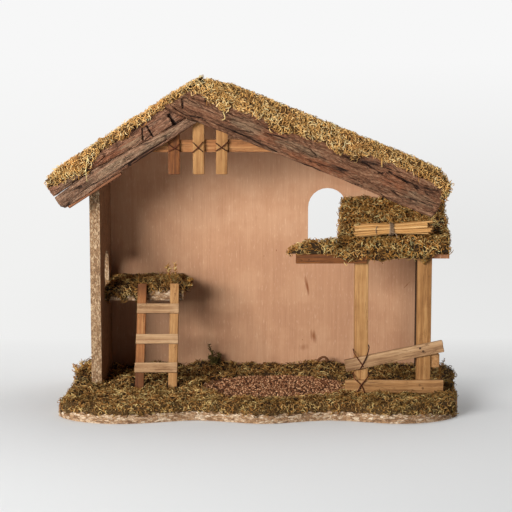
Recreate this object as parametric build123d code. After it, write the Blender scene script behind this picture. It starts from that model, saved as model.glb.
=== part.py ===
from build123d import *
import math
import os

# A table-top nativity stable: a mossy chipboard base, plywood back wall, gabled moss roof with bark
# fascias, a loft with a leaning ladder, and a pen with a lean-to roof. Millimetres, +Z up, the open
# front faces -Y, the origin is at the middle of the underside of the base.

# Base board
BASE_LENGTH = 378.0
BASE_THICKNESS = 10.0
FRONT_REACH = 103.0
EDGE_WAVE = 13.0
WAVE_PITCH = 119.0
WAVE_SHIFT = 2.0
END_SETBACK = 32.0
CORNER_WIDTH = 17.0
CORNER_DEPTH = 12.0
RIGHT_TAPER = 8.5

# Walls
BACK_FACE_Y = 100.0
BACK_WALL_THICKNESS = 3.0
BACK_WALL_FOOT = 1.0
SIDE_THICKNESS = 10.0
LEFT_WALL_INSET = 21.0
LEFT_WALL_FRONT_Y = 5.0
RIGHT_WALL_INSET = 17.0
RIGHT_WALL_DEPTH = 32.0
BACK_WINDOW_X = 68.7
BACK_WINDOW_WIDTH = 40.4
BACK_WINDOW_SILL = 140.0
BACK_WINDOW_TOP = 202.4
LEFT_WINDOW_Y = 59.0
LEFT_WINDOW_WIDTH = 35.0
LEFT_WINDOW_TOP = 141.0

# Roof: the lower corner of the two bark fascias at the ridge, and lifts square to each slope
RIDGE_X = -61.0
RIDGE_Z = 270.8
LEFT_SLOPE = 32.6
RIGHT_SLOPE = 21.7
LEFT_RUN = 148.6
RIGHT_RUN = 238.5
LEFT_FASCIA = 22.0
RIGHT_FASCIA = 30.0
PANEL_THICKNESS = 4.0
LEFT_MOSS = 12.0
RIGHT_MOSS = 15.0
BARK_FRONT_Y = -28.0
BARK_THICKNESS = 10.0
ROOF_BACK_Y = 108.0
MOSS_OVERHANG = 3.0
BARK_SEAM = 0.5
BARK_TIP_ALONG = 18.7
BARK_TIP_LIFT = 28.9
BARK_NECK_ALONG = 13.9
BARK_NECK_LIFT = 19.2
BARK_HEEL_ALONG = 3.7
BARK_HEEL_LIFT = 7.1
BARK_CROWN_LIFT = 30.6
BARK_BOW = 1.2
LOWER_BARK_EAVE = 14.0
LOWER_BARK_MIDDLE = 15.8
LOWER_BARK_RIDGE = 9.0
LOWER_BARK_MIDDLE_ALONG = 110.0
BARK_NOTCH_ALONG = 20.0
BARK_CHIP = 2.0
SPLINT_HEIGHT = 3.2
SPLINT_LENGTH = 62.0
SPLINT_THICKNESS = 6.0

# Gable tie beam, hanging slats and their wire
TIE_BEAM_Z = 242.6
TIE_BEAM_HEIGHT = 11.8
TIE_BEAM_DEPTH = 8.0
SLAT_XS = (-84.0, -60.5, -38.4)
SLAT_WIDTH = 11.0
SLAT_THICKNESS = 3.5
SLAT_FOOT_Z = 221.5
WIRE = 0.9
WIRE_BEND = 1.0
SLAT_WIRE_RISE = 7.6

# Loft
LOFT_FRONT_Y = 38.0
LOFT_LENGTH = 79.0
LOFT_THICKNESS = 10.0
LOFT_Z = 92.7
LOFT_MOSS_HEIGHT = 11.0
LOFT_MOSS_SETBACK = 5.5
LOFT_MOSS_OVERHANG = 5.0

# Ladder
LADDER_X = -103.7
LADDER_LEAN = 24.0
LADDER_LENGTH = 108.0
LADDER_SPAN = 41.2
RAIL_WIDTH = 8.8
RAIL_DEPTH = 5.5
RUNG_WIDTH = 9.8
RUNG_THICKNESS = 3.0
RUNG_OVERHANG = 0.3
RUNG_STATIONS = (24.3, 53.0, 83.6)
LADDER_TIP = 60.0

# Lean-to roof over the pen
LEAN_TO_LEFT_X = 70.5
LEAN_TO_WIDTH = 106.0
LEAN_TO_SKEW = 5.5
LEAN_TO_FRONT_Y = -36.0
LEAN_TO_EAVE_Z = 142.9
LEAN_TO_SLOPE = 14.7
LEAN_TO_THICKNESS = 3.8
LEAN_TO_MOSS = 12.0
LEAN_TO_LIP = 8.0
LEAN_TO_LIP_DROP = 2.0
PROP_X = 150.0
PROP_Y = 62.0
PROP_SIZE = 10.0

# Pen under the lean-to
POST_XS = (94.1, 153.9)
POST_WIDTH = 12.8
POST_DEPTH = 12.0
PEN_BOARD_THICKNESS = 4.0
PEN_LEFT_X = 78.7
LOWER_BOARD_LENGTH = 93.6
LOWER_BOARD_HEIGHT = 12.2
LOWER_BOARD_Z = 14.8
UPPER_BOARD_LENGTH = 94.8
UPPER_BOARD_HEIGHT = 11.4
UPPER_BOARD_Z = 50.4
UPPER_BOARD_TILT = 11.7
SIDE_RAIL_WIDTH = 8.6
SIDE_RAIL_HEIGHT = 13.0
SIDE_RAIL_Z = 38.2
SIDE_RAIL_FRONT_Y = -34.0

# Beam under the window and its moss
SILL_BEAM_LEFT_X = 31.5
SILL_BEAM_LENGTH = 67.0
SILL_BEAM_Z = 139.0
SILL_BEAM_HEIGHT = 9.5
SILL_BEAM_DEPTH = 8.0
SILL_MOSS_HEIGHT = 12.0
SILL_MOSS_DEPTH = 18.0
SILL_MOSS_OVERHANG = 8.0

# Straw bundle
STRAW_X = 125.6
STRAW_Y = -24.0
STRAW_LENGTH = 76.0
STRAW_DIAMETER = 2.3
STRAW_GAP = 0.1
STRAW_STAGGER = 2.0
TIE_X = 122.5
TIE_WIDTH = 3.0
TIE_THICKNESS = 0.8

# Ground cover
MOSS_HEIGHT = 6.0
MOSS_INSET = 2.0
BACK_MOSS_HEIGHT = 8.5
BACK_MOSS_DEPTH = 26.0
SIDE_MOSS_HEIGHT = 12.0
LEFT_SIDE_MOSS_FRONT_Y = 12.0
RIGHT_SIDE_MOSS_FRONT_Y = -18.0
GRAVEL_X = 12.5
GRAVEL_Y = -8.5
GRAVEL_HALF_LENGTH = 77.0
GRAVEL_HALF_DEPTH = 59.0
GRAVEL_HEIGHT = 3.5

# Nails and pins
NAIL_DIAMETER = 1.1
NAIL_HEAD = 2.2
NAIL_HEAD_HEIGHT = 0.5
NAIL_LENGTH = 12.0
NAIL_SPREAD = 3.0
HOLE_PLAY = 0.2
WALL_PIN_ZS = (42.0, 100.0, 150.0)
BASE_PIN_PITCH = 84.0
BASE_PIN_COUNT = 4

# Clearances
TOUCH = 0.05
CLEAR = 0.3

# Worked-out places
BACK_Y = BACK_FACE_Y + BACK_WALL_THICKNESS
BASE_TOP = BASE_THICKNESS
LEFT_WALL_X = LEFT_WALL_INSET - BASE_LENGTH / 2
RIGHT_WALL_X = BASE_LENGTH / 2 - RIGHT_WALL_INSET
LEFT_INNER_X = LEFT_WALL_X + SIDE_THICKNESS
RIGHT_INNER_X = RIGHT_WALL_X - SIDE_THICKNESS
RIGHT_WALL_FRONT_Y = BACK_FACE_Y - RIGHT_WALL_DEPTH
BARK_BACK_Y = BARK_FRONT_Y + BARK_THICKNESS
LEFT_PANEL_LIFT = LEFT_FASCIA - PANEL_THICKNESS
RIGHT_PANEL_LIFT = RIGHT_FASCIA - PANEL_THICKNESS
SLAT_BACK_Y = BARK_BACK_Y + SLAT_THICKNESS
LOFT_TOP = LOFT_Z + LOFT_THICKNESS
POST_FRONT_Y = LEAN_TO_FRONT_Y
POST_BACK_Y = POST_FRONT_Y + POST_DEPTH
PEN_BOARD_FRONT_Y = POST_FRONT_Y - PEN_BOARD_THICKNESS
SILL_BEAM_TOP = SILL_BEAM_Z + SILL_BEAM_HEIGHT
SILL_BEAM_RIGHT_X = SILL_BEAM_LEFT_X + SILL_BEAM_LENGTH
PIVOT_Z = BASE_TOP + CLEAR + RAIL_DEPTH / 2


def sine(degrees):
    return math.sin(math.radians(degrees))


def cosine(degrees):
    return math.cos(math.radians(degrees))


def tangent(degrees):
    return math.tan(math.radians(degrees))


def block(x0, x1, y0, y1, z0, z1):
    """A box between two corners."""
    return Pos((x0 + x1) / 2, (y0 + y1) / 2, (z0 + z1) / 2) * Box(x1 - x0, y1 - y0, z1 - z0)


def prism_along_y(outline, y0, y1):
    """An outline of (x, z) points drawn out from y0 to y1."""
    face = make_face(Polyline(*[(x, y0, z) for x, z in outline], close=True))
    return extrude(face, amount=y1 - y0, dir=(0, 1, 0))


def prism_along_x(outline, x0, x1):
    """An outline of (y, z) points drawn out from x0 to x1."""
    face = make_face(Polyline(*[(x0, y, z) for y, z in outline], close=True))
    return extrude(face, amount=x1 - x0, dir=(1, 0, 0))


def prism_along_z(outline, z0, z1):
    """An outline of (x, y) points drawn out from z0 to z1."""
    face = make_face(Polyline(*[(x, y, z0) for x, y in outline], close=True))
    return extrude(face, amount=z1 - z0, dir=(0, 0, 1))


def rod(start, end, diameter):
    """A round rod between two points."""
    line = Vector(*end) - Vector(*start)
    plane = Plane(origin=start, z_dir=line)
    return extrude(plane * Circle(diameter / 2), amount=line.length)


def slope_point(side, along, lift):
    """A point of a roof slope: along it from the ridge corner, and lifted square to it."""
    angle = LEFT_SLOPE if side < 0 else RIGHT_SLOPE
    x = RIDGE_X + side * (along * cosine(angle) + lift * sine(angle))
    z = RIDGE_Z - along * sine(angle) + lift * cosine(angle)
    return (x, z)


def ridge_point(left_lift, right_lift):
    """Where a line lifted off the left slope meets one lifted off the right slope."""
    gap = right_lift / cosine(RIGHT_SLOPE) - left_lift / cosine(LEFT_SLOPE)
    x = RIDGE_X + gap / (tangent(LEFT_SLOPE) + tangent(RIGHT_SLOPE))
    z = RIDGE_Z + left_lift / cosine(LEFT_SLOPE) + (x - RIDGE_X) * tangent(LEFT_SLOPE)
    return (x, z)


def roof_underside(x):
    """Height of the underside of the roof panels over x."""
    left = RIDGE_Z + LEFT_PANEL_LIFT / cosine(LEFT_SLOPE) + (x - RIDGE_X) * tangent(LEFT_SLOPE)
    right = RIDGE_Z + RIGHT_PANEL_LIFT / cosine(RIGHT_SLOPE) - (x - RIDGE_X) * tangent(RIGHT_SLOPE)
    return min(left, right)


def roof_underside_x(side, z):
    """Where the underside of a roof panel is at height z."""
    if side < 0:
        rise = z - RIDGE_Z - LEFT_PANEL_LIFT / cosine(LEFT_SLOPE)
        return RIDGE_X + rise / tangent(LEFT_SLOPE)
    rise = RIDGE_Z + RIGHT_PANEL_LIFT / cosine(RIGHT_SLOPE) - z
    return RIDGE_X + rise / tangent(RIGHT_SLOPE)


def lean_to_z(y, lift):
    """Height over y of a plane lifted square off the underside of the lean-to board."""
    rise = (y - LEAN_TO_FRONT_Y) * tangent(LEAN_TO_SLOPE)
    return LEAN_TO_EAVE_Z + rise + lift / cosine(LEAN_TO_SLOPE)


def lean_to_left_x(y):
    """Left edge of the lean-to over y: the board is set on a little askew."""
    return LEAN_TO_LEFT_X + (y - LEAN_TO_FRONT_Y) * tangent(LEAN_TO_SKEW)


def lean_to_plan(y0, y1, z0, z1):
    """The askew plan of the lean-to between two depths, as a tall block."""
    outline = [
        (lean_to_left_x(y0), y0),
        (lean_to_left_x(y0) + LEAN_TO_WIDTH, y0),
        (lean_to_left_x(y1) + LEAN_TO_WIDTH, y1),
        (lean_to_left_x(y1), y1),
    ]
    return prism_along_z(outline, z0, z1)


def arched(x, half, sill, top):
    """Points of an arched window: straight jambs under a round head of twelve steps."""
    spring = top - half
    head = [(x + half * cosine(15 * i), spring + half * sine(15 * i)) for i in range(13)]
    return [(x - half, sill), (x + half, sill)] + head


def ground_slab(inset, z0, z1):
    """The plan of the base, with its wavy front edge and its drawn-in right corner, as a slab."""
    half = BASE_LENGTH / 2 - inset
    front = -FRONT_REACH + inset
    corner_y = front + END_SETBACK
    wave = [
        (WAVE_SHIFT + (i - 2) * WAVE_PITCH / 2, front + EDGE_WAVE * (i % 2))
        for i in range(5)
    ]
    right = half - RIGHT_TAPER
    shoulder_y = front + CORNER_DEPTH
    edge = Spline(
        (-half, corner_y), (CORNER_WIDTH - half, shoulder_y), *wave, (right - CORNER_WIDTH, shoulder_y),
        (right, corner_y),
    )
    sides = Polyline(
        (right, corner_y), (half, RIGHT_SIDE_MOSS_FRONT_Y), (half, BACK_FACE_Y), (-half, BACK_FACE_Y),
        (-half, corner_y),
    )
    face = make_face([*edge.edges(), *sides.edges()])
    return Pos(0, 0, z0) * extrude(face, amount=z1 - z0, dir=(0, 0, 1))


def nail(head_centre, direction, length):
    """A round-headed nail whose head lies on a face and whose shank goes in along direction."""
    plane = Plane(origin=head_centre, z_dir=direction)
    shank = extrude(plane * Circle(NAIL_DIAMETER / 2), amount=length)
    head = extrude(plane * Circle(NAIL_HEAD / 2), amount=-NAIL_HEAD_HEIGHT)
    return shank + head


def nail_hole(head_centre, direction, length):
    """The hole that a nail of the same place needs."""
    plane = Plane(origin=head_centre, z_dir=direction)
    return extrude(plane * Circle((NAIL_DIAMETER + HOLE_PLAY) / 2), amount=length + HOLE_PLAY)


def wall_nail_places():
    """Back-wall nails: into the two side walls and into the back edge of the base."""
    places = []
    for z in WALL_PIN_ZS:
        places.append((LEFT_WALL_X + SIDE_THICKNESS / 2, BACK_Y, z))
        places.append((RIGHT_WALL_X - SIDE_THICKNESS / 2, BACK_Y, z))
    for i in range(BASE_PIN_COUNT):
        x = (i - (BASE_PIN_COUNT - 1) / 2) * BASE_PIN_PITCH
        places.append((x, BACK_Y, BASE_THICKNESS / 2))
    return places


def pen_board_z(x):
    """Height of the middle line of the tilted upper pen board over x."""
    middle = PEN_LEFT_X + UPPER_BOARD_LENGTH * cosine(UPPER_BOARD_TILT) / 2
    return UPPER_BOARD_Z + (x - middle) * tangent(UPPER_BOARD_TILT)


def pen_nail_places():
    """Two nails through each pen board into the right post."""
    places = []
    for z in (LOWER_BOARD_Z + LOWER_BOARD_HEIGHT / 2, pen_board_z(POST_XS[1])):
        for step in (-1, 1):
            x = POST_XS[1] + step * NAIL_SPREAD / 2 - NAIL_SPREAD
            places.append((x, PEN_BOARD_FRONT_Y, z - step * NAIL_SPREAD / 2))
    return places


def drilled(solid, places, direction):
    """A solid with the holes of these nails."""
    for place in places:
        solid = solid - nail_hole(place, direction, NAIL_LENGTH)
    return solid


def base_board():
    slab = ground_slab(0, 0, BASE_THICKNESS)
    return drilled(slab, wall_nail_places(), (0, -1, 0))


def left_wall():
    outline = [
        (LEFT_WALL_X, BASE_TOP),
        (LEFT_INNER_X, BASE_TOP),
        (LEFT_INNER_X, roof_underside(LEFT_INNER_X)),
        (LEFT_WALL_X, roof_underside(LEFT_WALL_X)),
    ]
    wall = prism_along_y(outline, LEFT_WALL_FRONT_Y, BACK_FACE_Y)
    window = arched(LEFT_WINDOW_Y, LEFT_WINDOW_WIDTH / 2, LOFT_TOP + 1, LEFT_WINDOW_TOP)
    wall = wall - prism_along_x(window, LEFT_WALL_X - 1, LEFT_INNER_X + 1)
    return drilled(wall, wall_nail_places(), (0, -1, 0))


def right_wall():
    outline = [
        (RIGHT_WALL_FRONT_Y, BASE_TOP),
        (BACK_FACE_Y, BASE_TOP),
        (BACK_FACE_Y, lean_to_z(BACK_FACE_Y, 0)),
        (RIGHT_WALL_FRONT_Y, lean_to_z(RIGHT_WALL_FRONT_Y, 0)),
    ]
    wall = prism_along_x(outline, RIGHT_INNER_X, RIGHT_WALL_X)
    return drilled(wall, wall_nail_places(), (0, -1, 0))


def back_wall():
    outline = [
        (LEFT_WALL_X, BACK_WALL_FOOT),
        (RIGHT_WALL_X, BACK_WALL_FOOT),
        (RIGHT_WALL_X, roof_underside(RIGHT_WALL_X)),
        ridge_point(LEFT_PANEL_LIFT, RIGHT_PANEL_LIFT),
        (LEFT_WALL_X, roof_underside(LEFT_WALL_X)),
    ]
    wall = prism_along_y(outline, BACK_FACE_Y, BACK_Y)
    window = arched(BACK_WINDOW_X, BACK_WINDOW_WIDTH / 2, BACK_WINDOW_SILL, BACK_WINDOW_TOP)
    wall = wall - prism_along_y(window, BACK_FACE_Y - 1, BACK_Y + 1)
    return drilled(wall, wall_nail_places(), (0, -1, 0))


def back_wall_nails():
    return [nail(place, (0, -1, 0), NAIL_LENGTH) for place in wall_nail_places()]


def roof_panel(side):
    run = LEFT_RUN if side < 0 else RIGHT_RUN
    lift = LEFT_PANEL_LIFT if side < 0 else RIGHT_PANEL_LIFT
    outline = [
        slope_point(side, run, lift),
        slope_point(side, run, lift + PANEL_THICKNESS),
        ridge_point(LEFT_FASCIA, RIGHT_FASCIA),
        ridge_point(LEFT_PANEL_LIFT, RIGHT_PANEL_LIFT),
    ]
    return prism_along_y(outline, BARK_BACK_Y, ROOF_BACK_Y)


def roof_moss(side):
    """The moss blanket of one slope, with a rounded eave and a front edge over the bark."""
    run = LEFT_RUN if side < 0 else RIGHT_RUN
    lift = LEFT_FASCIA if side < 0 else RIGHT_FASCIA
    depth = LEFT_MOSS if side < 0 else RIGHT_MOSS
    outline = [
        slope_point(side, run + MOSS_OVERHANG, lift + TOUCH),
        slope_point(side, run + MOSS_OVERHANG, lift + depth * 0.45),
        slope_point(side, run - depth * 0.6, lift + depth * 0.9),
        slope_point(side, run - depth * 2.2, lift + depth),
        ridge_point(LEFT_FASCIA + LEFT_MOSS, RIGHT_FASCIA + RIGHT_MOSS),
        ridge_point(LEFT_FASCIA + TOUCH, RIGHT_FASCIA + TOUCH),
    ]
    moss = prism_along_y(outline, BARK_FRONT_Y - MOSS_OVERHANG, ROOF_BACK_Y)
    tip = prism_along_y(
        right_bark_outline(CLEAR), BARK_FRONT_Y - MOSS_OVERHANG - 1, BARK_BACK_Y + CLEAR
    )
    return (moss - tip) if side < 0 else moss


def right_bark_outline(grow):
    """The right bark slab: its pointed end laps over the ridge on to the left slope."""
    return [
        slope_point(-1, BARK_TIP_ALONG + grow * 2, BARK_TIP_LIFT),
        slope_point(-1, BARK_NECK_ALONG + grow, BARK_NECK_LIFT - grow),
        slope_point(-1, BARK_HEEL_ALONG + grow, BARK_HEEL_LIFT - grow),
        slope_point(1, 0, -grow),
        slope_point(1, RIGHT_RUN * 0.3, -grow),
        slope_point(1, RIGHT_RUN * 0.62, BARK_BOW - grow),
        slope_point(1, RIGHT_RUN - BARK_CHIP, -grow),
        slope_point(1, RIGHT_RUN, BARK_CHIP * 2),
        slope_point(1, RIGHT_RUN, RIGHT_FASCIA),
        slope_point(1, 0, RIGHT_FASCIA),
        slope_point(-1, 0, BARK_CROWN_LIFT + grow),
    ]


def right_bark():
    return prism_along_y(right_bark_outline(0), BARK_FRONT_Y, BARK_BACK_Y)


def left_lower_bark():
    outline = [
        slope_point(-1, BARK_SEAM * 2, 0),
        slope_point(-1, BARK_HEEL_ALONG + BARK_SEAM * 2, BARK_HEEL_LIFT),
        slope_point(-1, BARK_HEEL_ALONG + BARK_SEAM * 6, LOWER_BARK_RIDGE),
        slope_point(-1, BARK_NOTCH_ALONG, LOWER_BARK_RIDGE),
        slope_point(-1, LOWER_BARK_MIDDLE_ALONG, LOWER_BARK_MIDDLE),
        slope_point(-1, LEFT_RUN - BARK_CHIP, LOWER_BARK_EAVE),
        slope_point(-1, LEFT_RUN, BARK_CHIP),
        slope_point(-1, LEFT_RUN - BARK_CHIP, 0),
    ]
    return prism_along_y(outline, BARK_FRONT_Y, BARK_BACK_Y)


def left_upper_bark():
    outline = [
        slope_point(-1, BARK_NOTCH_ALONG, LOWER_BARK_RIDGE + BARK_SEAM),
        slope_point(-1, BARK_NOTCH_ALONG - BARK_CHIP, LEFT_FASCIA),
        slope_point(-1, LEFT_RUN, LEFT_FASCIA),
        slope_point(-1, LEFT_RUN + BARK_CHIP, LEFT_FASCIA - BARK_CHIP),
        slope_point(-1, LEFT_RUN, LOWER_BARK_EAVE + BARK_SEAM),
        slope_point(-1, LOWER_BARK_MIDDLE_ALONG, LOWER_BARK_MIDDLE + BARK_SEAM),
    ]
    return prism_along_y(outline, BARK_FRONT_Y, BARK_BACK_Y)


def left_bark_splint():
    outline = [
        slope_point(-1, LEFT_RUN - BARK_CHIP * 2, -TOUCH),
        slope_point(-1, LEFT_RUN - BARK_CHIP * 3, -SPLINT_HEIGHT),
        slope_point(-1, LEFT_RUN - SPLINT_LENGTH * 0.85, -SPLINT_HEIGHT * 0.7),
        slope_point(-1, LEFT_RUN - SPLINT_LENGTH, -TOUCH),
    ]
    return prism_along_y(outline, BARK_BACK_Y - SPLINT_THICKNESS, BARK_BACK_Y)


def tie_beam():
    top = TIE_BEAM_Z + TIE_BEAM_HEIGHT
    outline = [
        (roof_underside_x(-1, TIE_BEAM_Z), TIE_BEAM_Z),
        (roof_underside_x(1, TIE_BEAM_Z), TIE_BEAM_Z),
        (roof_underside_x(1, top), top),
        (roof_underside_x(-1, top), top),
    ]
    return prism_along_y(outline, SLAT_BACK_Y, SLAT_BACK_Y + TIE_BEAM_DEPTH)


def hanging_slat(x):
    left = x - SLAT_WIDTH / 2
    right = x + SLAT_WIDTH / 2
    top = min(roof_underside(left), roof_underside(right)) - TOUCH
    return block(left, right, BARK_BACK_Y, SLAT_BACK_Y, SLAT_FOOT_Z, top)


def lashing(x0, x1, z0, z1, front_y, back_y, layer):
    """One turn of wire: back beside the wood, slanting across its front, and back again."""
    y = front_y - WIRE / 2 - TOUCH - layer * (WIRE + TOUCH)
    path = FilletPolyline((x0, back_y, z0), (x0, y, z0), (x1, y, z1), (x1, back_y, z1), radius=WIRE_BEND)
    section = Plane(origin=(x0, back_y, z0), z_dir=(0, -1, 0)) * Circle(WIRE / 2)
    return sweep(section, path=path)


def crossed_lashing(x, width, lower_z, upper_z, front_y, back_y):
    """Two turns of wire that cross over the front of a piece."""
    reach = width / 2 + WIRE / 2 + TOUCH
    step = WIRE + TOUCH * 2
    return [
        lashing(x - reach, x + reach, upper_z, lower_z, front_y, back_y, 0),
        lashing(x - reach, x + reach, lower_z - step, upper_z + step, front_y, back_y, 1),
    ]


def slat_wires():
    wires = []
    for x in SLAT_XS:
        middle = TIE_BEAM_Z + TIE_BEAM_HEIGHT / 2 - 1
        lower = middle - SLAT_WIRE_RISE / 2
        upper = middle + SLAT_WIRE_RISE / 2
        end = SLAT_BACK_Y - TOUCH
        wires += crossed_lashing(x, SLAT_WIDTH, lower, upper, BARK_BACK_Y, end)
    return wires


def pen_wires():
    """Lashings of both pen boards to the left post."""
    x = POST_XS[0]
    reach = (UPPER_BOARD_HEIGHT / 2) / cosine(UPPER_BOARD_TILT)
    slant = (POST_WIDTH / 2 + WIRE) * tangent(UPPER_BOARD_TILT)
    spans = [
        (LOWER_BOARD_Z - WIRE - CLEAR, LOWER_BOARD_Z + LOWER_BOARD_HEIGHT + WIRE + CLEAR),
        (pen_board_z(x) - reach - slant - WIRE - CLEAR, pen_board_z(x) + reach + slant + WIRE + CLEAR),
    ]
    wires = []
    for lower, upper in spans:
        wires += crossed_lashing(x, POST_WIDTH, lower, upper, PEN_BOARD_FRONT_Y, POST_BACK_Y)
    return wires


def loft_board():
    right = LEFT_INNER_X + LOFT_LENGTH
    return block(LEFT_INNER_X, right, LOFT_FRONT_Y, BACK_FACE_Y, LOFT_Z, LOFT_TOP)


def loft_moss():
    front = LOFT_FRONT_Y + LOFT_MOSS_SETBACK
    top = LOFT_TOP + LOFT_MOSS_HEIGHT
    right = LEFT_INNER_X + LOFT_LENGTH + LOFT_MOSS_OVERHANG
    outline = [
        (front, LOFT_TOP + TOUCH),
        (front, LOFT_TOP + LOFT_MOSS_HEIGHT * 0.5),
        (front + LOFT_MOSS_HEIGHT * 0.6, top),
        (BACK_FACE_Y - CLEAR, top),
        (BACK_FACE_Y - CLEAR, LOFT_TOP + TOUCH),
    ]
    moss = prism_along_x(outline, LEFT_INNER_X + CLEAR, right)
    corner = [
        (right - LOFT_MOSS_HEIGHT, top + 1),
        (right + 1, top + 1),
        (right + 1, LOFT_TOP + LOFT_MOSS_HEIGHT * 0.4),
    ]
    return moss - prism_along_y(corner, front - 1, BACK_FACE_Y)


def ladder_place():
    """Foot of the ladder, from which local Z runs up the rails and local -Y faces the front."""
    back_offset = RAIL_DEPTH / 2 + CLEAR
    height = LOFT_TOP - PIVOT_Z
    y = LOFT_FRONT_Y - height * tangent(LADDER_LEAN) - back_offset / cosine(LADDER_LEAN)
    return Location((LADDER_X, y, PIVOT_Z), (-LADDER_LEAN, 0, 0))


def ladder_pivot_y():
    return ladder_place().position.Y


def ladder_rail(side):
    outer = side * LADDER_SPAN / 2
    inner = side * (LADDER_SPAN / 2 - RAIL_WIDTH)
    left = min(outer, inner)
    right = max(outer, inner)
    length = LADDER_LENGTH - RAIL_DEPTH / 2
    rail = block(left, right, -RAIL_DEPTH / 2, RAIL_DEPTH / 2, 0, length)
    foot = rod((left, 0, 0), (right, 0, 0), RAIL_DEPTH)
    return ladder_place() * (rail + foot)


def ladder_rung(station):
    half = LADDER_SPAN / 2 + RUNG_OVERHANG
    front = -RAIL_DEPTH / 2 - RUNG_THICKNESS
    middle = station - RAIL_DEPTH / 2
    lower = middle - RUNG_WIDTH / 2
    return ladder_place() * block(-half, half, front, -RAIL_DEPTH / 2, lower, middle + RUNG_WIDTH / 2)


def lean_to_board():
    outline = [
        (LEAN_TO_FRONT_Y, lean_to_z(LEAN_TO_FRONT_Y, 0)),
        (BACK_FACE_Y, lean_to_z(BACK_FACE_Y, 0)),
        (BACK_FACE_Y, lean_to_z(BACK_FACE_Y, LEAN_TO_THICKNESS)),
        (LEAN_TO_FRONT_Y, lean_to_z(LEAN_TO_FRONT_Y, LEAN_TO_THICKNESS)),
    ]
    far = LEAN_TO_LEFT_X + 2 * LEAN_TO_WIDTH
    slab = prism_along_x(outline, LEAN_TO_LEFT_X - 1, far)
    top = lean_to_z(BACK_FACE_Y, LEAN_TO_THICKNESS) + 1
    return slab & lean_to_plan(LEAN_TO_FRONT_Y, BACK_FACE_Y, LEAN_TO_EAVE_Z - 1, top)


def lean_to_moss():
    """Moss on the lean-to, with a lip that hangs over its front edge."""
    lift = LEAN_TO_THICKNESS + TOUCH
    back = BACK_FACE_Y - CLEAR
    front = LEAN_TO_FRONT_Y - LEAN_TO_LIP
    top = LEAN_TO_THICKNESS + LEAN_TO_MOSS
    above_beam = SILL_BEAM_TOP + CLEAR
    outline = [
        (front, above_beam),
        (LEAN_TO_FRONT_Y - TOUCH, above_beam),
        (LEAN_TO_FRONT_Y + (above_beam - lean_to_z(LEAN_TO_FRONT_Y, lift)) / tangent(LEAN_TO_SLOPE),
         above_beam),
        (back, lean_to_z(back, lift)),
        (back, lean_to_z(back, top)),
        (LEAN_TO_FRONT_Y, lean_to_z(LEAN_TO_FRONT_Y, top)),
        (front, lean_to_z(front, top * 0.6)),
    ]
    far = LEAN_TO_LEFT_X + 2 * LEAN_TO_WIDTH
    slab = prism_along_x(outline, LEAN_TO_LEFT_X - LEAN_TO_LIP, far)
    moss = slab & lean_to_plan(front, back, above_beam - 1, lean_to_z(back, top) + 1)
    lip_right = lean_to_left_x(LEAN_TO_FRONT_Y) + LEAN_TO_WIDTH
    lip = block(
        SILL_BEAM_RIGHT_X + CLEAR, lip_right,
        front, LEAN_TO_FRONT_Y - TOUCH,
        LEAN_TO_EAVE_Z - LEAN_TO_LIP_DROP, above_beam,
    )
    prop_hole = block(
        PROP_X - CLEAR, PROP_X + PROP_SIZE + CLEAR, PROP_Y - CLEAR, PROP_Y + PROP_SIZE + CLEAR,
        LEAN_TO_EAVE_Z, roof_underside(PROP_X) + 1,
    )
    return (moss + lip) - prop_hole


def roof_prop():
    """The block between the lean-to and the main roof."""
    outline_xz = [
        (PROP_X, LEAN_TO_EAVE_Z),
        (PROP_X + PROP_SIZE, LEAN_TO_EAVE_Z),
        (PROP_X + PROP_SIZE, roof_underside(PROP_X + PROP_SIZE)),
        (PROP_X, roof_underside(PROP_X)),
    ]
    outline_yz = [
        (PROP_Y, lean_to_z(PROP_Y, LEAN_TO_THICKNESS)),
        (PROP_Y + PROP_SIZE, lean_to_z(PROP_Y + PROP_SIZE, LEAN_TO_THICKNESS)),
        (PROP_Y + PROP_SIZE, roof_underside(PROP_X) + 1),
        (PROP_Y, roof_underside(PROP_X) + 1),
    ]
    tall = prism_along_y(outline_xz, PROP_Y, PROP_Y + PROP_SIZE)
    return tall & prism_along_x(outline_yz, PROP_X - 1, PROP_X + PROP_SIZE + 1)


def pen_post(x):
    outline = [
        (POST_FRONT_Y, BASE_TOP),
        (POST_BACK_Y, BASE_TOP),
        (POST_BACK_Y, lean_to_z(POST_BACK_Y, 0)),
        (POST_FRONT_Y, lean_to_z(POST_FRONT_Y, 0)),
    ]
    post = prism_along_x(outline, x - POST_WIDTH / 2, x + POST_WIDTH / 2)
    return drilled(post, pen_nail_places(), (0, 1, 0)) if x == POST_XS[1] else post


def pen_board_lower():
    board = block(
        PEN_LEFT_X, PEN_LEFT_X + LOWER_BOARD_LENGTH, PEN_BOARD_FRONT_Y, POST_FRONT_Y,
        LOWER_BOARD_Z, LOWER_BOARD_Z + LOWER_BOARD_HEIGHT,
    )
    return drilled(board, pen_nail_places()[:2], (0, 1, 0))


def pen_board_upper():
    x = PEN_LEFT_X + UPPER_BOARD_LENGTH * cosine(UPPER_BOARD_TILT) / 2
    y = (PEN_BOARD_FRONT_Y + POST_FRONT_Y) / 2
    place = Location((x, y, UPPER_BOARD_Z), (0, -UPPER_BOARD_TILT, 0))
    board = place * Box(UPPER_BOARD_LENGTH, PEN_BOARD_THICKNESS, UPPER_BOARD_HEIGHT)
    return drilled(board, pen_nail_places()[2:], (0, 1, 0))


def pen_nails():
    return [nail(place, (0, 1, 0), NAIL_LENGTH) for place in pen_nail_places()]


def side_rail():
    left = POST_XS[1] + POST_WIDTH / 2
    return block(
        left, left + SIDE_RAIL_WIDTH, SIDE_RAIL_FRONT_Y, RIGHT_WALL_FRONT_Y,
        SIDE_RAIL_Z, SIDE_RAIL_Z + SIDE_RAIL_HEIGHT,
    )


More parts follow.
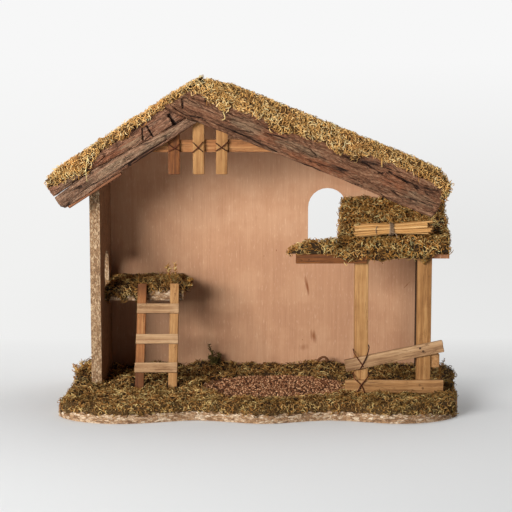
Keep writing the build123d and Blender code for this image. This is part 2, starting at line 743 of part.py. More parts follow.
def sill_beam():
    return block(
        SILL_BEAM_LEFT_X, SILL_BEAM_RIGHT_X, POST_FRONT_Y - SILL_BEAM_DEPTH, POST_FRONT_Y,
        SILL_BEAM_Z, SILL_BEAM_TOP,
    )


def sill_moss():
    """The tuft that lies on the beam, up against the moss of the lean-to."""
    left = SILL_BEAM_LEFT_X - SILL_MOSS_OVERHANG
    right = lean_to_left_x(LEAN_TO_FRONT_Y - LEAN_TO_LIP) - CLEAR
    foot = SILL_BEAM_TOP + TOUCH
    outline = [
        (left, foot),
        (right, foot),
        (right, foot + SILL_MOSS_HEIGHT),
        (left + SILL_MOSS_OVERHANG * 2, foot + SILL_MOSS_HEIGHT * 0.9),
        (left + SILL_MOSS_OVERHANG * 0.7, foot + SILL_MOSS_HEIGHT * 0.4),
    ]
    front = POST_FRONT_Y - SILL_BEAM_DEPTH / 2 - SILL_MOSS_DEPTH / 2
    return prism_along_y(outline, front, front + SILL_MOSS_DEPTH)


def straw_centre():
    """Middle of the straw bundle, which rests on the moss of the lean-to by its tie."""
    spread = 2 * (STRAW_DIAMETER + STRAW_GAP) + STRAW_DIAMETER / 2
    tie_inner = spread + STRAW_GAP
    tie_outer = tie_inner + TIE_THICKNESS
    lift = LEAN_TO_THICKNESS + LEAN_TO_MOSS + tie_outer + CLEAR
    return (lean_to_z(STRAW_Y, lift), tie_inner, tie_outer)


def straw_bundle():
    """Nineteen straws in a ring about a ring about one, of uneven lengths."""
    z, _, _ = straw_centre()
    pitch = STRAW_DIAMETER + STRAW_GAP
    straws = []
    for row in range(-2, 3):
        count = 5 - abs(row)
        for i in range(count):
            y = (i - (count - 1) / 2) * pitch
            shift = STRAW_STAGGER * math.sin(3.1 * row + 2.3 * i)
            start = STRAW_X - STRAW_LENGTH / 2 + shift
            end = start + STRAW_LENGTH - STRAW_STAGGER * abs(math.cos(1.7 * i + row))
            height = z + row * pitch * sine(60)
            straws.append(rod((start, STRAW_Y + y, height), (end, STRAW_Y + y, height), STRAW_DIAMETER))
    return straws


def straw_tie():
    z, inner, outer = straw_centre()
    start = (TIE_X - TIE_WIDTH / 2, STRAW_Y, z)
    end = (TIE_X + TIE_WIDTH / 2, STRAW_Y, z)
    return rod(start, end, 2 * outer) - rod(start, end, 2 * inner)


def gravel_slab(grow, height):
    oval = Ellipse(GRAVEL_HALF_LENGTH + grow, GRAVEL_HALF_DEPTH + grow)
    return Pos(GRAVEL_X, GRAVEL_Y, BASE_TOP + TOUCH) * extrude(oval, amount=height)


def gravel_path():
    return gravel_slab(0, GRAVEL_HEIGHT)


def standing_clearances(top):
    """Blocks round everything that stands in the ground moss."""
    low = BASE_TOP - 1
    blocks = [
        block(LEFT_WALL_X - CLEAR, LEFT_INNER_X + CLEAR, LEFT_WALL_FRONT_Y - CLEAR, BACK_Y, low, top),
        block(LEFT_WALL_X - CLEAR, RIGHT_WALL_X + CLEAR, BACK_FACE_Y - CLEAR, BACK_Y, low, top),
        block(
            RIGHT_INNER_X - CLEAR, RIGHT_WALL_X + CLEAR, RIGHT_WALL_FRONT_Y - CLEAR, BACK_Y, low, top
        ),
    ]
    for x in POST_XS:
        half = POST_WIDTH / 2 + WIRE + CLEAR
        blocks.append(
            block(x - half, x + half, POST_FRONT_Y - PEN_BOARD_THICKNESS - 3 * WIRE, POST_BACK_Y + CLEAR,
                  low, top)
        )
    blocks.append(
        block(
            PEN_LEFT_X - CLEAR, PEN_LEFT_X + LOWER_BOARD_LENGTH + CLEAR,
            PEN_BOARD_FRONT_Y - CLEAR, POST_FRONT_Y + CLEAR, LOWER_BOARD_Z - CLEAR, top,
        )
    )
    return blocks


def ladder_clearances(top):
    """Slots for the two rail feet, long enough for the ladder to tip forward."""
    foot_y = ladder_pivot_y()
    reach = RAIL_DEPTH / 2 + CLEAR
    forward = (top - PIVOT_Z) * tangent(LADDER_TIP - LADDER_LEAN) + reach / cosine(LADDER_TIP - LADDER_LEAN)
    backward = (top - PIVOT_Z) * tangent(LADDER_LEAN) + reach / cosine(LADDER_LEAN)
    slots = []
    for side in (-1, 1):
        x = LADDER_X + side * (LADDER_SPAN - RAIL_WIDTH) / 2
        half = RAIL_WIDTH / 2 + CLEAR
        slots.append(
            block(x - half, x + half, foot_y - forward, foot_y + backward, BASE_TOP - 1, top)
        )
    return slots


def ground_moss():
    """Moss over the whole base but the path, deeper along the back wall and at the sides."""
    top = BASE_TOP + SIDE_MOSS_HEIGHT + 1
    foot = BASE_TOP + TOUCH
    moss = ground_slab(MOSS_INSET, foot, BASE_TOP + MOSS_HEIGHT)
    back_front = BACK_FACE_Y - BACK_MOSS_DEPTH
    back_ridge = [
        (back_front, foot),
        (back_front + BACK_MOSS_DEPTH * 0.7, BASE_TOP + BACK_MOSS_HEIGHT),
        (BACK_FACE_Y - CLEAR, BASE_TOP + BACK_MOSS_HEIGHT),
        (BACK_FACE_Y - CLEAR, foot),
    ]
    moss = moss + prism_along_x(back_ridge, LEFT_INNER_X + CLEAR, RIGHT_INNER_X - CLEAR)
    edge = BASE_LENGTH / 2 - MOSS_INSET
    left_mound = [
        (-edge, foot),
        (-edge, BASE_TOP + SIDE_MOSS_HEIGHT * 0.6),
        (-edge + MOSS_HEIGHT, BASE_TOP + SIDE_MOSS_HEIGHT),
        (LEFT_WALL_X - CLEAR, BASE_TOP + SIDE_MOSS_HEIGHT * 0.8),
        (LEFT_WALL_X - CLEAR, foot),
    ]
    right_mound = [
        (edge, foot),
        (edge, BASE_TOP + SIDE_MOSS_HEIGHT * 0.6),
        (edge - MOSS_HEIGHT, BASE_TOP + SIDE_MOSS_HEIGHT),
        (RIGHT_WALL_X + CLEAR, BASE_TOP + SIDE_MOSS_HEIGHT * 0.6),
        (RIGHT_WALL_X + CLEAR, foot),
    ]
    moss = moss + prism_along_y(left_mound, LEFT_SIDE_MOSS_FRONT_Y, BACK_FACE_Y)
    moss = moss + prism_along_y(right_mound, RIGHT_SIDE_MOSS_FRONT_Y, BACK_FACE_Y)
    moss = moss - Pos(0, 0, -1) * gravel_slab(CLEAR, top - BASE_TOP + 2)
    for cut in standing_clearances(top) + ladder_clearances(top):
        moss = moss - cut
    return moss


def save(name, shape):
    """Write one sub-part, a solid or a list of separate solids, under its node's name."""
    solids = []
    for item in shape if isinstance(shape, list) else [shape]:
        solids += item.solids()
    whole = solids[0] if len(solids) == 1 else Compound(children=solids)
    export_step(whole, os.path.join("parts", name + ".step"))


def main():
    os.makedirs("parts", exist_ok=True)
    save("base_board", base_board())
    save("ground_moss", ground_moss())
    save("gravel_path", gravel_path())
    save("left_wall", left_wall())
    save("right_wall", right_wall())
    save("back_wall", back_wall())
    save("back_wall_nails", back_wall_nails())
    save("left_roof_panel", roof_panel(-1))
    save("right_roof_panel", roof_panel(1))
    save("left_roof_moss", roof_moss(-1))
    save("right_roof_moss", roof_moss(1))
    save("right_bark", right_bark())
    save("left_upper_bark", left_upper_bark())
    save("left_lower_bark", left_lower_bark())
    save("left_bark_splint", left_bark_splint())
    save("tie_beam", tie_beam())
    for name, x in zip(("left", "middle", "right"), SLAT_XS):
        save("hanging_slat_" + name, hanging_slat(x))
    save("slat_wires", slat_wires())
    save("loft_board", loft_board())
    save("loft_moss", loft_moss())
    save("ladder_rail_left", ladder_rail(-1))
    save("ladder_rail_right", ladder_rail(1))
    for name, station in zip(("lower", "middle", "upper"), RUNG_STATIONS):
        save("ladder_rung_" + name, ladder_rung(station))
    save("lean_to_board", lean_to_board())
    save("lean_to_moss", lean_to_moss())
    save("roof_prop", roof_prop())
    save("pen_post_left", pen_post(POST_XS[0]))
    save("pen_post_right", pen_post(POST_XS[1]))
    save("pen_board_lower", pen_board_lower())
    save("pen_board_upper", pen_board_upper())
    save("pen_nails", pen_nails())
    save("pen_wires", pen_wires())
    save("side_rail", side_rail())
    save("sill_beam", sill_beam())
    save("sill_moss", sill_moss())
    save("straw_bundle", straw_bundle())
    save("straw_tie", straw_tie())
    print("ladder pivot y", round(ladder_pivot_y(), 3), "z", round(PIVOT_Z, 3))


main()
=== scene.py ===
"""Nativity stable: moss, bark, boards, strips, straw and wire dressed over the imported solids.

Lengths in the classes are millimetres, written as they were measured, and meshes are in metres in
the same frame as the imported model: +X to the viewer's right, +Y to the back wall, +Z up.
"""
import logging
import math
import random
from dataclasses import dataclass, field
from enum import Enum
from functools import reduce
from typing import Callable, Iterable, Optional, Sequence

import bmesh
import bpy
import numpy as np
from mathutils import Matrix, Vector, noise


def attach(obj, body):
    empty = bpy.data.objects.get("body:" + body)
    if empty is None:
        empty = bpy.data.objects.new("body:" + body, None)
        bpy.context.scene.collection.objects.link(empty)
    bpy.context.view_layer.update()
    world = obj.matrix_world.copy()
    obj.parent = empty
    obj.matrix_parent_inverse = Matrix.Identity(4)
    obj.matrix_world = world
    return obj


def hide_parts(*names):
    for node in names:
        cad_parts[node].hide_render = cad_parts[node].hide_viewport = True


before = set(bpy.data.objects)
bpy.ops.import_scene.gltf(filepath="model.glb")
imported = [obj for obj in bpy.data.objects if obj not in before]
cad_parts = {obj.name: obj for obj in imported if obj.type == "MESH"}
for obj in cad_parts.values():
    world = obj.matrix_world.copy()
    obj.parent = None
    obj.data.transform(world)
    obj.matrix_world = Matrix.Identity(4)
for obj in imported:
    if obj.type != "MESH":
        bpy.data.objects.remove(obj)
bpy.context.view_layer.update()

LOG = logging.getLogger("nativity_stable")
MM = 0.001
MATT = 0.22
FRONT_BAND = (-14.0, 2.0)
STRAND_TRIANGLES = 32
PIECE_TRIANGLES = 175000
GOLDEN_TURN = 2.399963
Point2 = tuple[float, float]
Point3 = tuple[float, float, float]
Colour = tuple[float, float, float, float]
Mesh = bpy.types.Mesh
Object = bpy.types.Object
Material = bpy.types.Material
Tree = bpy.types.NodeTree
Node = bpy.types.Node
Socket = bpy.types.NodeSocket
FaceTest = Callable[[Vector, Vector], bool]
CurtainPlace = Callable[[float, float, int], Vector]


class Slot(Enum):
    """Material slots of the record."""

    CHIPBOARD = "chipboard"
    PLYWOOD = "plywood"
    MOSS = "moss"
    ROOF_MOSS = "roof_moss"
    GRAVEL = "gravel"
    BARK = "bark"
    GREY_BARK = "grey_bark"
    PALE_PINE = "pale_pine"
    STAINED_PINE = "stained_pine"
    DARK_PINE = "dark_pine"
    IRON_WIRE = "iron_wire"
    NAIL = "nail"
    STRAW = "straw"
    STRAW_BAND = "straw_band"


class Body(Enum):
    """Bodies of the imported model."""

    STABLE = "stable"
    LADDER = "ladder"


class Side(Enum):
    """The two roof slopes, by the direction in which each falls."""

    LEFT = -1
    RIGHT = 1


def srgb(red: float, green: float, blue: float) -> Colour:
    """Turn a colour as seen on a screen, 0 to 255, into the linear colour that a shader takes.

    Args:
        red: Red of the seen colour.
        green: Green of the seen colour.
        blue: Blue of the seen colour.

    Returns:
        The linear colour with an alpha of 1.
    """
    parts = []
    for value in (red, green, blue):
        part = value / 255.0
        parts.append(part / 12.92 if part <= 0.04045 else ((part + 0.055) / 1.055) ** 2.4)
    return (parts[0], parts[1], parts[2], 1.0)


def ramp(points: Sequence[Point2], x: float) -> float:
    """Read a broken line at x.

    Args:
        points: Corners of the line, by rising x.
        x: Where it is read.

    Returns:
        The height of the line, held level past its ends.
    """
    if x <= points[0][0]:
        return points[0][1]
    for (x0, y0), (x1, y1) in zip(points, points[1:]):
        if x <= x1:
            return y0 + (y1 - y0) * (x - x0) / (x1 - x0)
    return points[-1][1]


def smooth_path(points: Sequence[Point3], steps: int = 6) -> list[Vector]:
    """Round a path through its points.

    Args:
        points: Points that the path goes through.
        steps: Pieces between one point and the next.

    Returns:
        Points along the rounded path.
    """
    nodes = [Vector(point) for point in points]
    ends = [nodes[0] * 2 - nodes[1]] + nodes + [nodes[-1] * 2 - nodes[-2]]
    path = []
    for i in range(1, len(ends) - 2):
        before, start, end, after = ends[i - 1:i + 3]
        for step in range(steps):
            t = step / steps
            path.append(0.5 * (
                2 * start
                + (end - before) * t
                + (2 * before - 5 * start + 4 * end - after) * t * t
                + (3 * start - before - 3 * end + after) * t ** 3
            ))
    path.append(nodes[-1])
    return path


def wobble(x: float, y: float, z: float = 0.0) -> float:
    """Smooth noise between about -1 and 1."""
    return noise.noise(Vector((x, y, z)))


def ridged(x: float, y: float, z: float = 0.0) -> float:
    """Noise that is 1 on thin winding lines and falls off on both sides of them."""
    return 1.0 - min(1.0, abs(noise.noise(Vector((x, y, z)))) * 2.2)


def new_object(name: str, mesh: Mesh) -> Object:
    """Put a mesh in the scene as an object at the origin."""
    made = bpy.data.objects.new(name, mesh)
    bpy.context.scene.collection.objects.link(made)
    return made


def evaluated(name: str, carrier: Object) -> Mesh:
    """Make a plain mesh of an object with its modifiers, and remove the object."""
    done = carrier.evaluated_get(bpy.context.evaluated_depsgraph_get())
    mesh = bpy.data.meshes.new_from_object(done)
    mesh.name = name
    bpy.data.objects.remove(carrier)
    return mesh


def mesh_from(
    name: str, points: Iterable[Vector], faces: Sequence[Sequence[int]], edges: Sequence[Sequence[int]] = ()
) -> Mesh:
    """Make a mesh from millimetre points.

    Args:
        name: Name of the mesh.
        points: Places of its vertices in millimetres.
        faces: Its faces, wound to face outwards.
        edges: Loose edges, for paths that are made into rods.

    Returns:
        The mesh, in metres.
    """
    mesh = bpy.data.meshes.new(name)
    mesh.from_pydata([tuple(Vector(point) * MM) for point in points], list(edges), list(faces))
    mesh.update()
    return mesh


def soften(mesh: Mesh, angle: float = 35.0) -> None:
    """Shade a mesh smooth but for edges sharper than an angle in degrees."""
    mesh.polygons.foreach_set("use_smooth", [True] * len(mesh.polygons))
    mesh.set_sharp_from_angle(angle=math.radians(angle))


def keep_values(mesh: Mesh, name: str, values: Sequence[float]) -> None:
    """Store one number for each vertex, for the finish to read."""
    layer = mesh.attributes.new(name, "FLOAT", "POINT")
    layer.data.foreach_set("value", np.asarray(values, dtype=np.float32))


def keep_vectors(mesh: Mesh, name: str, vectors: Sequence[Vector]) -> None:
    """Store one vector for each vertex, for the finish to read."""
    layer = mesh.attributes.new(name, "FLOAT_VECTOR", "POINT")
    layer.data.foreach_set("vector", np.asarray([tuple(v) for v in vectors], dtype=np.float32).ravel())


def close_outwards(mesh: Mesh) -> None:
    """Merge doubled vertices and turn every face outwards."""
    work = bmesh.new()
    work.from_mesh(mesh)
    bmesh.ops.remove_doubles(work, verts=work.verts, dist=1e-6)
    bmesh.ops.recalc_face_normals(work, faces=work.faces)
    work.to_mesh(mesh)
    work.free()
    mesh.update()


def flip_if_inside_out(mesh: Mesh) -> None:
    """Turn all faces over where the closed shells of a mesh enclose a negative volume."""
    mesh.calc_loop_triangles()
    places = np.empty(len(mesh.vertices) * 3, dtype=np.float32)
    mesh.vertices.foreach_get("co", places)
    places = places.reshape(-1, 3)
    corners = np.empty(len(mesh.loop_triangles) * 3, dtype=np.int32)
    mesh.loop_triangles.foreach_get("vertices", corners)
    a, b, c = (places[corners.reshape(-1, 3)[:, i]] for i in range(3))
    if float(np.einsum("ij,ij->i", a, np.cross(b, c)).sum()) < 0.0:
        mesh.flip_normals()


def far_from(points: Sequence[Point2], x: float, y: float) -> float:
    """Distance from a place to a broken line."""
    best = math.inf
    for (x0, y0), (x1, y1) in zip(points, points[1:]):
        dx = x1 - x0
        dy = y1 - y0
        share = max(0.0, min(1.0, ((x - x0) * dx + (y - y0) * dy) / (dx * dx + dy * dy)))
        best = min(best, math.hypot(x - x0 - share * dx, y - y0 - share * dy))
    return best


def without_faces(mesh: Mesh, unwanted: FaceTest) -> Mesh:
    """Copy a mesh without the faces that a test of middle (millimetres) and normal picks out."""
    work = bmesh.new()
    work.from_mesh(mesh)
    doomed = [face for face in work.faces if unwanted(face.calc_center_median() * 1000, face.normal)]
    bmesh.ops.delete(work, geom=doomed, context="FACES")
    copied = bpy.data.meshes.new("trimmed")
    work.to_mesh(copied)
    work.free()
    return copied


def curtain_mesh(name: str, columns: int, rows: int, place: CurtainPlace) -> Mesh:
    """Make a thin closed curtain from a grid with two faces.

    Args:
        name: Name of the mesh.
        columns: Steps along it.
        rows: Steps up it.
        place: Gives the place, in millimetres, for a share along, a share up and a layer, 0 or 1.

    Returns:
        The mesh.
    """
    points = [
        place(i / columns, j / rows, layer)
        for layer in (0, 1) for i in range(columns + 1) for j in range(rows + 1)
    ]
    high = rows + 1
    size = (columns + 1) * high
    faces = []
    for i in range(columns):
        for j in range(rows):
            a = i * high + j
            faces.append((a, a + high, a + high + 1, a + 1))
            faces.append((size + a, size + a + 1, size + a + high + 1, size + a + high))
        for j in (0, rows):
            a = i * high + j
            faces.append((a, size + a, size + a + high, a + high))
    for i in (0, columns):
        for j in range(rows):
            a = i * high + j
            faces.append((a, a + 1, size + a + 1, size + a))
    mesh = mesh_from(name, points, faces)
    close_outwards(mesh)
    soften(mesh, 180.0)
    return mesh


class Graph:
    """A short way to write a node tree."""

    def __init__(self, tree: Tree) -> None:
        """Keep the tree that the nodes go into."""
        self.tree = tree

    def node(self, kind: str, inputs: Optional[dict[object, object]] = None, **settings: object) -> Node:
        """Add a node.

        Args:
            kind: Blender's name of the node type.
            inputs: Plain values or sockets for its inputs, by name or number.
            **settings: Properties to set on it.

        Returns:
            The node.
        """
        made = self.tree.nodes.new(kind)
        for key, value in settings.items():
            setattr(made, key, value)
        for key, value in (inputs or {}).items():
            self.put(made.inputs[key], value)
        return made

    def put(self, socket: Socket, value: object) -> None:
        """Link a socket to an input, or set the input to a plain value."""
        if isinstance(value, Socket):
            self.tree.links.new(value, socket)
        else:
            socket.default_value = value

    def math(self, operation: str, *parts: object, clamp: bool = False) -> Socket:
        """Join numbers.

        Args:
            operation: Blender's name of the operation.
            *parts: One to three numbers or sockets.
            clamp: Whether the result is held between 0 and 1.

        Returns:
            The socket of the result.
        """
        inputs = dict(enumerate(parts))
        return self.node("ShaderNodeMath", inputs, operation=operation, use_clamp=clamp).outputs[0]

    def times(self, first: object, second: object) -> Socket:
        """Multiply two numbers."""
        return self.math("MULTIPLY", first, second)

    def plus(self, first: object, second: object) -> Socket:
        """Add two numbers."""
        return self.math("ADD", first, second)

    def minus(self, first: object, second: object) -> Socket:
        """Take the second number from the first."""
        return self.math("SUBTRACT", first, second)

    def most(self, *values: object) -> Socket:
        """The greatest of several numbers."""
        return reduce(lambda first, second: self.math("MAXIMUM", first, second), values)

    def weighed(self, *parts: tuple[object, float]) -> Socket:
        """Add up numbers, each times its weight."""
        total = self.times(*parts[0])
        for value, weight in parts[1:]:
            total = self.math("MULTIPLY_ADD", value, weight, total)
        return total

    def vector(self, operation: str, first: object, second: object = (0.0, 0.0, 0.0)) -> Socket:
        """Join two vectors, where SCALE takes a number as its second and LENGTH only the first."""
        inputs = {0: first, "Scale" if operation == "SCALE" else 1: second}
        made = self.node("ShaderNodeVectorMath", inputs, operation=operation)
        return made.outputs["Value" if operation == "LENGTH" else 0]

    def noise(
        self, place: object, scale: object, detail: float = 3.0, roughness: float = 0.55,
        distortion: float = 0.0, output: str = "Fac",
    ) -> Socket:
        """Add a noise texture.

        Args:
            place: Socket of the place that it is read at.
            scale: Features for each metre.
            detail: Octaves.
            roughness: Strength of the finer octaves.
            distortion: How far it is bent.
            output: Fac or Color.

        Returns:
            The socket of the noise.
        """
        return self.node("ShaderNodeTexNoise", {
            "Vector": place, "Scale": scale, "Detail": detail, "Roughness": roughness,
            "Distortion": distortion,
        }).outputs[output]

    def spread(
        self, value: object, low: object, high: object, start: object = 0.0, end: object = 1.0
    ) -> Socket:
        """Stretch a value so that low to high becomes start to end, held there."""
        inputs = dict(enumerate((value, low, high, start, end)))
        return self.node("ShaderNodeMapRange", inputs, clamp=True).outputs[0]

    def mix(self, factor: object, first: object, second: object) -> Socket:
        """Mix two colours by the share of the second."""
        return self.node("ShaderNodeMix", {0: factor, 6: first, 7: second}, data_type="RGBA").outputs[2]

    def group(self, tree: Tree, **values: object) -> Sequence[Socket]:
        """Place a shared shader group with its own values, and give its outputs."""
        return self.node("ShaderNodeGroup", values, node_tree=tree).outputs

    def split(self, place: object) -> tuple[Socket, ...]:
        """Take a vector apart into its three numbers."""
        return tuple(self.node("ShaderNodeSeparateXYZ", {0: place}).outputs)

    def join(self, *parts: object) -> Socket:
        """Make a vector of three numbers."""
        return self.node("ShaderNodeCombineXYZ", dict(enumerate(parts))).outputs[0]


def start_group(
    kind: str, name: str, inputs: dict[str, object], outputs: dict[str, str]
) -> tuple[Graph, Sequence[Socket], Sequence[Socket]]:
    """Begin a node group with named sockets.

    Args:
        kind: ShaderNodeTree or GeometryNodeTree.
        name: Name of the group.
        inputs: First value of each input, or the kind of one that has none.
        outputs: Kind of each output.

    Returns:
        The graph, the sockets of its inputs and the sockets of its outputs.
    """
    tree = bpy.data.node_groups.new(name, kind)
    for label, value in inputs.items():
        shape = value if isinstance(value, str) else "Int" if isinstance(value, int) else "Float"
        socket = tree.interface.new_socket(name=label, in_out="INPUT", socket_type="NodeSocket" + shape)
        if shape is not value:
            socket.default_value = value
    for label, shape in outputs.items():
        tree.interface.new_socket(name=label, in_out="OUTPUT", socket_type="NodeSocket" + shape)
    graph = Graph(tree)
    return graph, graph.node("NodeGroupInput").outputs, graph.node("NodeGroupOutput").inputs


class SharedEffects:
    """Shader groups that more than one finish uses, each built once."""

    def __init__(self) -> None:
        """Build every group."""
        self.tones = self._tones()
        self.fibre = self._fibre()
        self.mottle = self._mottle()
        self.flakes = self._flakes()
        self.cracks = self._cracks()

    @staticmethod
    def _tones() -> Tree:
        """Three tones of a material, spread over a mask."""
        graph, given, made = start_group(
            "ShaderNodeTree", "three_tones",
            {"Mask": 0.5, "Dark": "Color", "Middle": "Color", "Light": "Color"}, {"Color": "Color"},
        )
        low = graph.math("MULTIPLY", given["Mask"], 2, clamp=True)
        high = graph.math("MULTIPLY_ADD", given["Mask"], 2, -1, clamp=True)
        base = graph.mix(low, given["Dark"], given["Middle"])
        graph.put(made["Color"], graph.mix(high, base, given["Light"]))
        return graph.tree

    @staticmethod
    def _fibre() -> Tree:
        """Wood fibres along the X of the given vector, with pores and growth bands."""
        graph, given, made = start_group(
            "ShaderNodeTree", "wood_fibre", {"Vector": "Vector", "Pitch": 0.0008, "Stretch": 18.0},
            {"Fibre": "Float", "Pore": "Float", "Band": "Float"},
        )
        across = graph.math("DIVIDE", 1, given["Pitch"])
        along = graph.math("DIVIDE", across, given["Stretch"])
        drawn = graph.vector("MULTIPLY", given["Vector"], graph.join(along, across, across))
        fibre = graph.noise(drawn, 0.6, 4, 0.6, 0.4)
        graph.put(made["Fibre"], graph.spread(fibre, 0.28, 0.72))
        thin = graph.vector("MULTIPLY", drawn, (2.6, 2.2, 2.2))
        graph.put(made["Pore"], graph.spread(graph.noise(thin, 0.55, 1, 0.5), 0.62, 0.7))
        wide = graph.vector("MULTIPLY", drawn, (0.12, 0.16, 0.16))
        graph.put(made["Band"], graph.spread(graph.noise(wide, 1, 2, 0.5, 0.8), 0.3, 0.7))
        return graph.tree

    @staticmethod
    def _mottle() -> Tree:
        """Soft patches of a given size."""
        graph, given, made = start_group(
            "ShaderNodeTree", "mottle", {"Vector": "Vector", "Size": 0.03, "Hardness": 0.3},
            {"Mask": "Float"},
        )
        patches = graph.noise(given["Vector"], graph.math("DIVIDE", 1, given["Size"]), 4, 0.6)
        half = graph.minus(0.5, graph.times(given["Hardness"], 0.5))
        low = graph.math("MULTIPLY_ADD", half, 0.6, 0.2)
        graph.put(made["Mask"], graph.spread(patches, low, graph.minus(1, low)))
        return graph.tree

    @staticmethod
    def _flakes() -> Tree:
        """Pressed flakes: a tone for each flake and the dark gap round it."""
        graph, given, made = start_group(
            "ShaderNodeTree", "pressed_flakes", {"Vector": "Vector", "Size": 0.002},
            {"Tone": "Float", "Gap": "Float"},
        )
        bent = graph.noise(given["Vector"], 260, 2, 0.5, output="Color")
        shift = graph.vector("SCALE", graph.vector("SUBTRACT", bent, (0.5, 0.5, 0.5)), 0.0016)
        cell = {
            "Vector": graph.vector("ADD", given["Vector"], shift),
            "Scale": graph.math("DIVIDE", 1, given["Size"]),
        }
        cells = graph.node("ShaderNodeTexVoronoi", cell, feature="F1")
        edges = graph.node("ShaderNodeTexVoronoi", cell, feature="DISTANCE_TO_EDGE")
        graph.put(made["Tone"], graph.split(cells.outputs["Color"])[0])
        graph.put(made["Gap"], graph.spread(edges.outputs["Distance"], 0, 0.12, 1, 0))
        return graph.tree

    @staticmethod
    def _cracks() -> Tree:
        """Thin dark cracks along the X of the given vector, here and there."""
        graph, given, made = start_group(
            "ShaderNodeTree", "long_cracks", {"Vector": "Vector", "Size": 0.006, "Width": 0.05},
            {"Mask": "Float"},
        )
        drawn = graph.vector("MULTIPLY", given["Vector"], (0.16, 1, 1))
        scale = graph.math("DIVIDE", 1, given["Size"])
        line = graph.math("ABSOLUTE", graph.minus(graph.noise(drawn, scale, 4, 0.6, 0.8), 0.5))
        thin = graph.spread(line, 0, given["Width"], 1, 0)
        gate = graph.noise(graph.vector("SCALE", drawn, 0.6), scale, 2)
        graph.put(made["Mask"], graph.times(thin, graph.spread(gate, 0.42, 0.58)))
        return graph.tree


